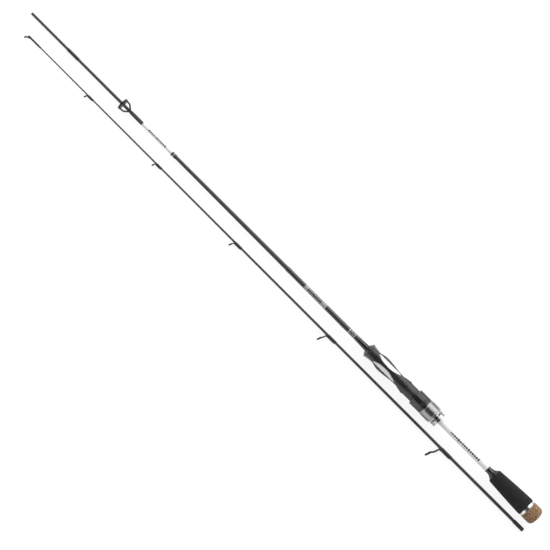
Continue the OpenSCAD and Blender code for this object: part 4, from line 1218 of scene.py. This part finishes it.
def line_guide(wrap, foot_x, ring_r, seat_r, bore_r, forward, height, lean, bow, wire_r, band, wide, sway=0.0):
    """The frame and the ceramic ring of one guide, drawn from the front end of its foot's wrap."""
    label, body, wrap_x0, root_x = wrap
    base = radius_of[body](wrap_x0) + 0.04
    ring = leaning(root_x + forward, height, radians(lean))
    parts = [hoop(band / 2, band * 0.34, seat_r, ring_r, RING_SIDES, ring)]
    swing = Vector((sway, 0, 0))
    for side in (-1, 1):
        top = Vector((root_x + forward, side * (ring_r - 1.15 * wire_r), height - 0.1 * ring_r))
        middle = Vector((root_x + blend_to(FOOT_NOSE, forward, 0.45), side * bow, (base + height) / 2))
        root = Vector((root_x + FOOT_NOSE - wire_r / 2, side * (FOOT_WIDE - wire_r) / 2, base + FOOT_TALL / 2))
        start = Vector((root_x - 1.5, side * (FOOT_WIDE / 2 - wire_r * 0.6), base + FOOT_TALL / 2))
        parts.append(wire([start, root, middle - swing, middle.lerp(top, 0.55) + swing, top], wire_r))
    parts.append(foot_strip(wrap_x0 + foot_x, root_x + FOOT_NOSE, base))
    mesh_piece(label + "_wire_frame", join_shapes(parts), coat_of[body], body, label + "_frame")
    lip = 0.5 * (seat_r - bore_r)
    bead = insert(wide / 2, wide / 4, lip * 0.7, lip * 0.8, seat_r, bore_r, RING_SIDES, ring)
    mesh_piece(label + "_ceramic_ring", bead, ceramic_of[body], body, label + "_ring")


line_guide(wraps[0], 3, ring_r=9.1, seat_r=7.4, bore_r=6.4, forward=15.5, height=19.0, lean=8, bow=6.3,
           wire_r=1.25, band=2.6, wide=3.0)
GUIDE_LEAN, LARGEST_R, LEG_SLOPE = 20, 4.65, tan(radians(23))
for wrap, (reach, ring_r, bore_r) in zip(wraps[1:], (
        (23.3, LARGEST_R, 3.0), (15.6, 3.75, 2.4), (9.4, 2.75, 1.7), (6.7, 2.25, 1.3), (6.0, 2.25, 1.3))):
    size = ring_r / LARGEST_R
    band = 1.6 * blend_to(0.5, 1, size)
    height = reach - ring_r * cos(radians(GUIDE_LEAN)) - 0.3 * band * sin(radians(GUIDE_LEAN))
    line_guide(wrap, 2, ring_r, seat_r=blend_to(bore_r, ring_r, 0.55), bore_r=bore_r,
               forward=height * LEG_SLOPE + 0.75, height=height, lean=GUIDE_LEAN, bow=0.6 * ring_r,
               wire_r=0.28 * ring_r, band=1.6 * band, wide=2.5 * blend_to(0.6, 1.15, size), sway=0.14 * ring_r)

# ---- Tip-top ------------------------------------------------------------------------------------
# The last guide: a short tube glued over the blank's end, and two wire struts that hold a small ring
# over it, leaning forward.
TOP_RING_R, TOP_HOOP_R, TOP_BORE_R, TOP_HEIGHT, TOP_LEAN = 2.3, 2.55, 1.3, 3.9, radians(25)
TUBE_X, TUBE_END, TUBE_R, BLANK_END = 978.0, 999.4, tip_radius(978.0) + 0.45, 993.0
top_x = TIP_LENGTH - TOP_RING_R * sin(TOP_LEAN) - 0.8
ring = leaning(top_x, TOP_HEIGHT, TOP_LEAN)
seat_r = blend_to(TOP_BORE_R, TOP_RING_R, 0.55)
parts = [collar([(TUBE_X, tip_radius(TUBE_X) + 0.02), (TUBE_X, TUBE_R), (TUBE_END - 0.4, TUBE_R),
                 (TUBE_END, TUBE_R - 0.4), (TUBE_END, 0.01), (BLANK_END + 0.2, 0.01),
                 (BLANK_END, tip_radius(BLANK_END) + 0.02)], 0.2, 4, 48),
         hoop(0.9, 0.5, seat_r, TOP_HOOP_R, 64, ring)]
for side in (-1, 1):
    parts.append(wire([(TUBE_END - 6.5, side * 0.2, 0.1), (TUBE_END - 2.6, side * 0.7, TUBE_R),
                       (TUBE_END + 0.6, side * 1.4, TUBE_R + 1.5), (top_x, side * 1.7, TOP_HEIGHT)], 0.95))
mesh_piece("tip_top_frame", join_shapes(parts), coat_of["tip_section"], "tip_section", "top_frame")
mesh_piece("tip_top_ceramic_ring", insert(1.0, 0.4, 0.25, 0.2, seat_r, TOP_BORE_R, 64, ring),
           ceramic_of["tip_section"], "tip_section", "top_ring")
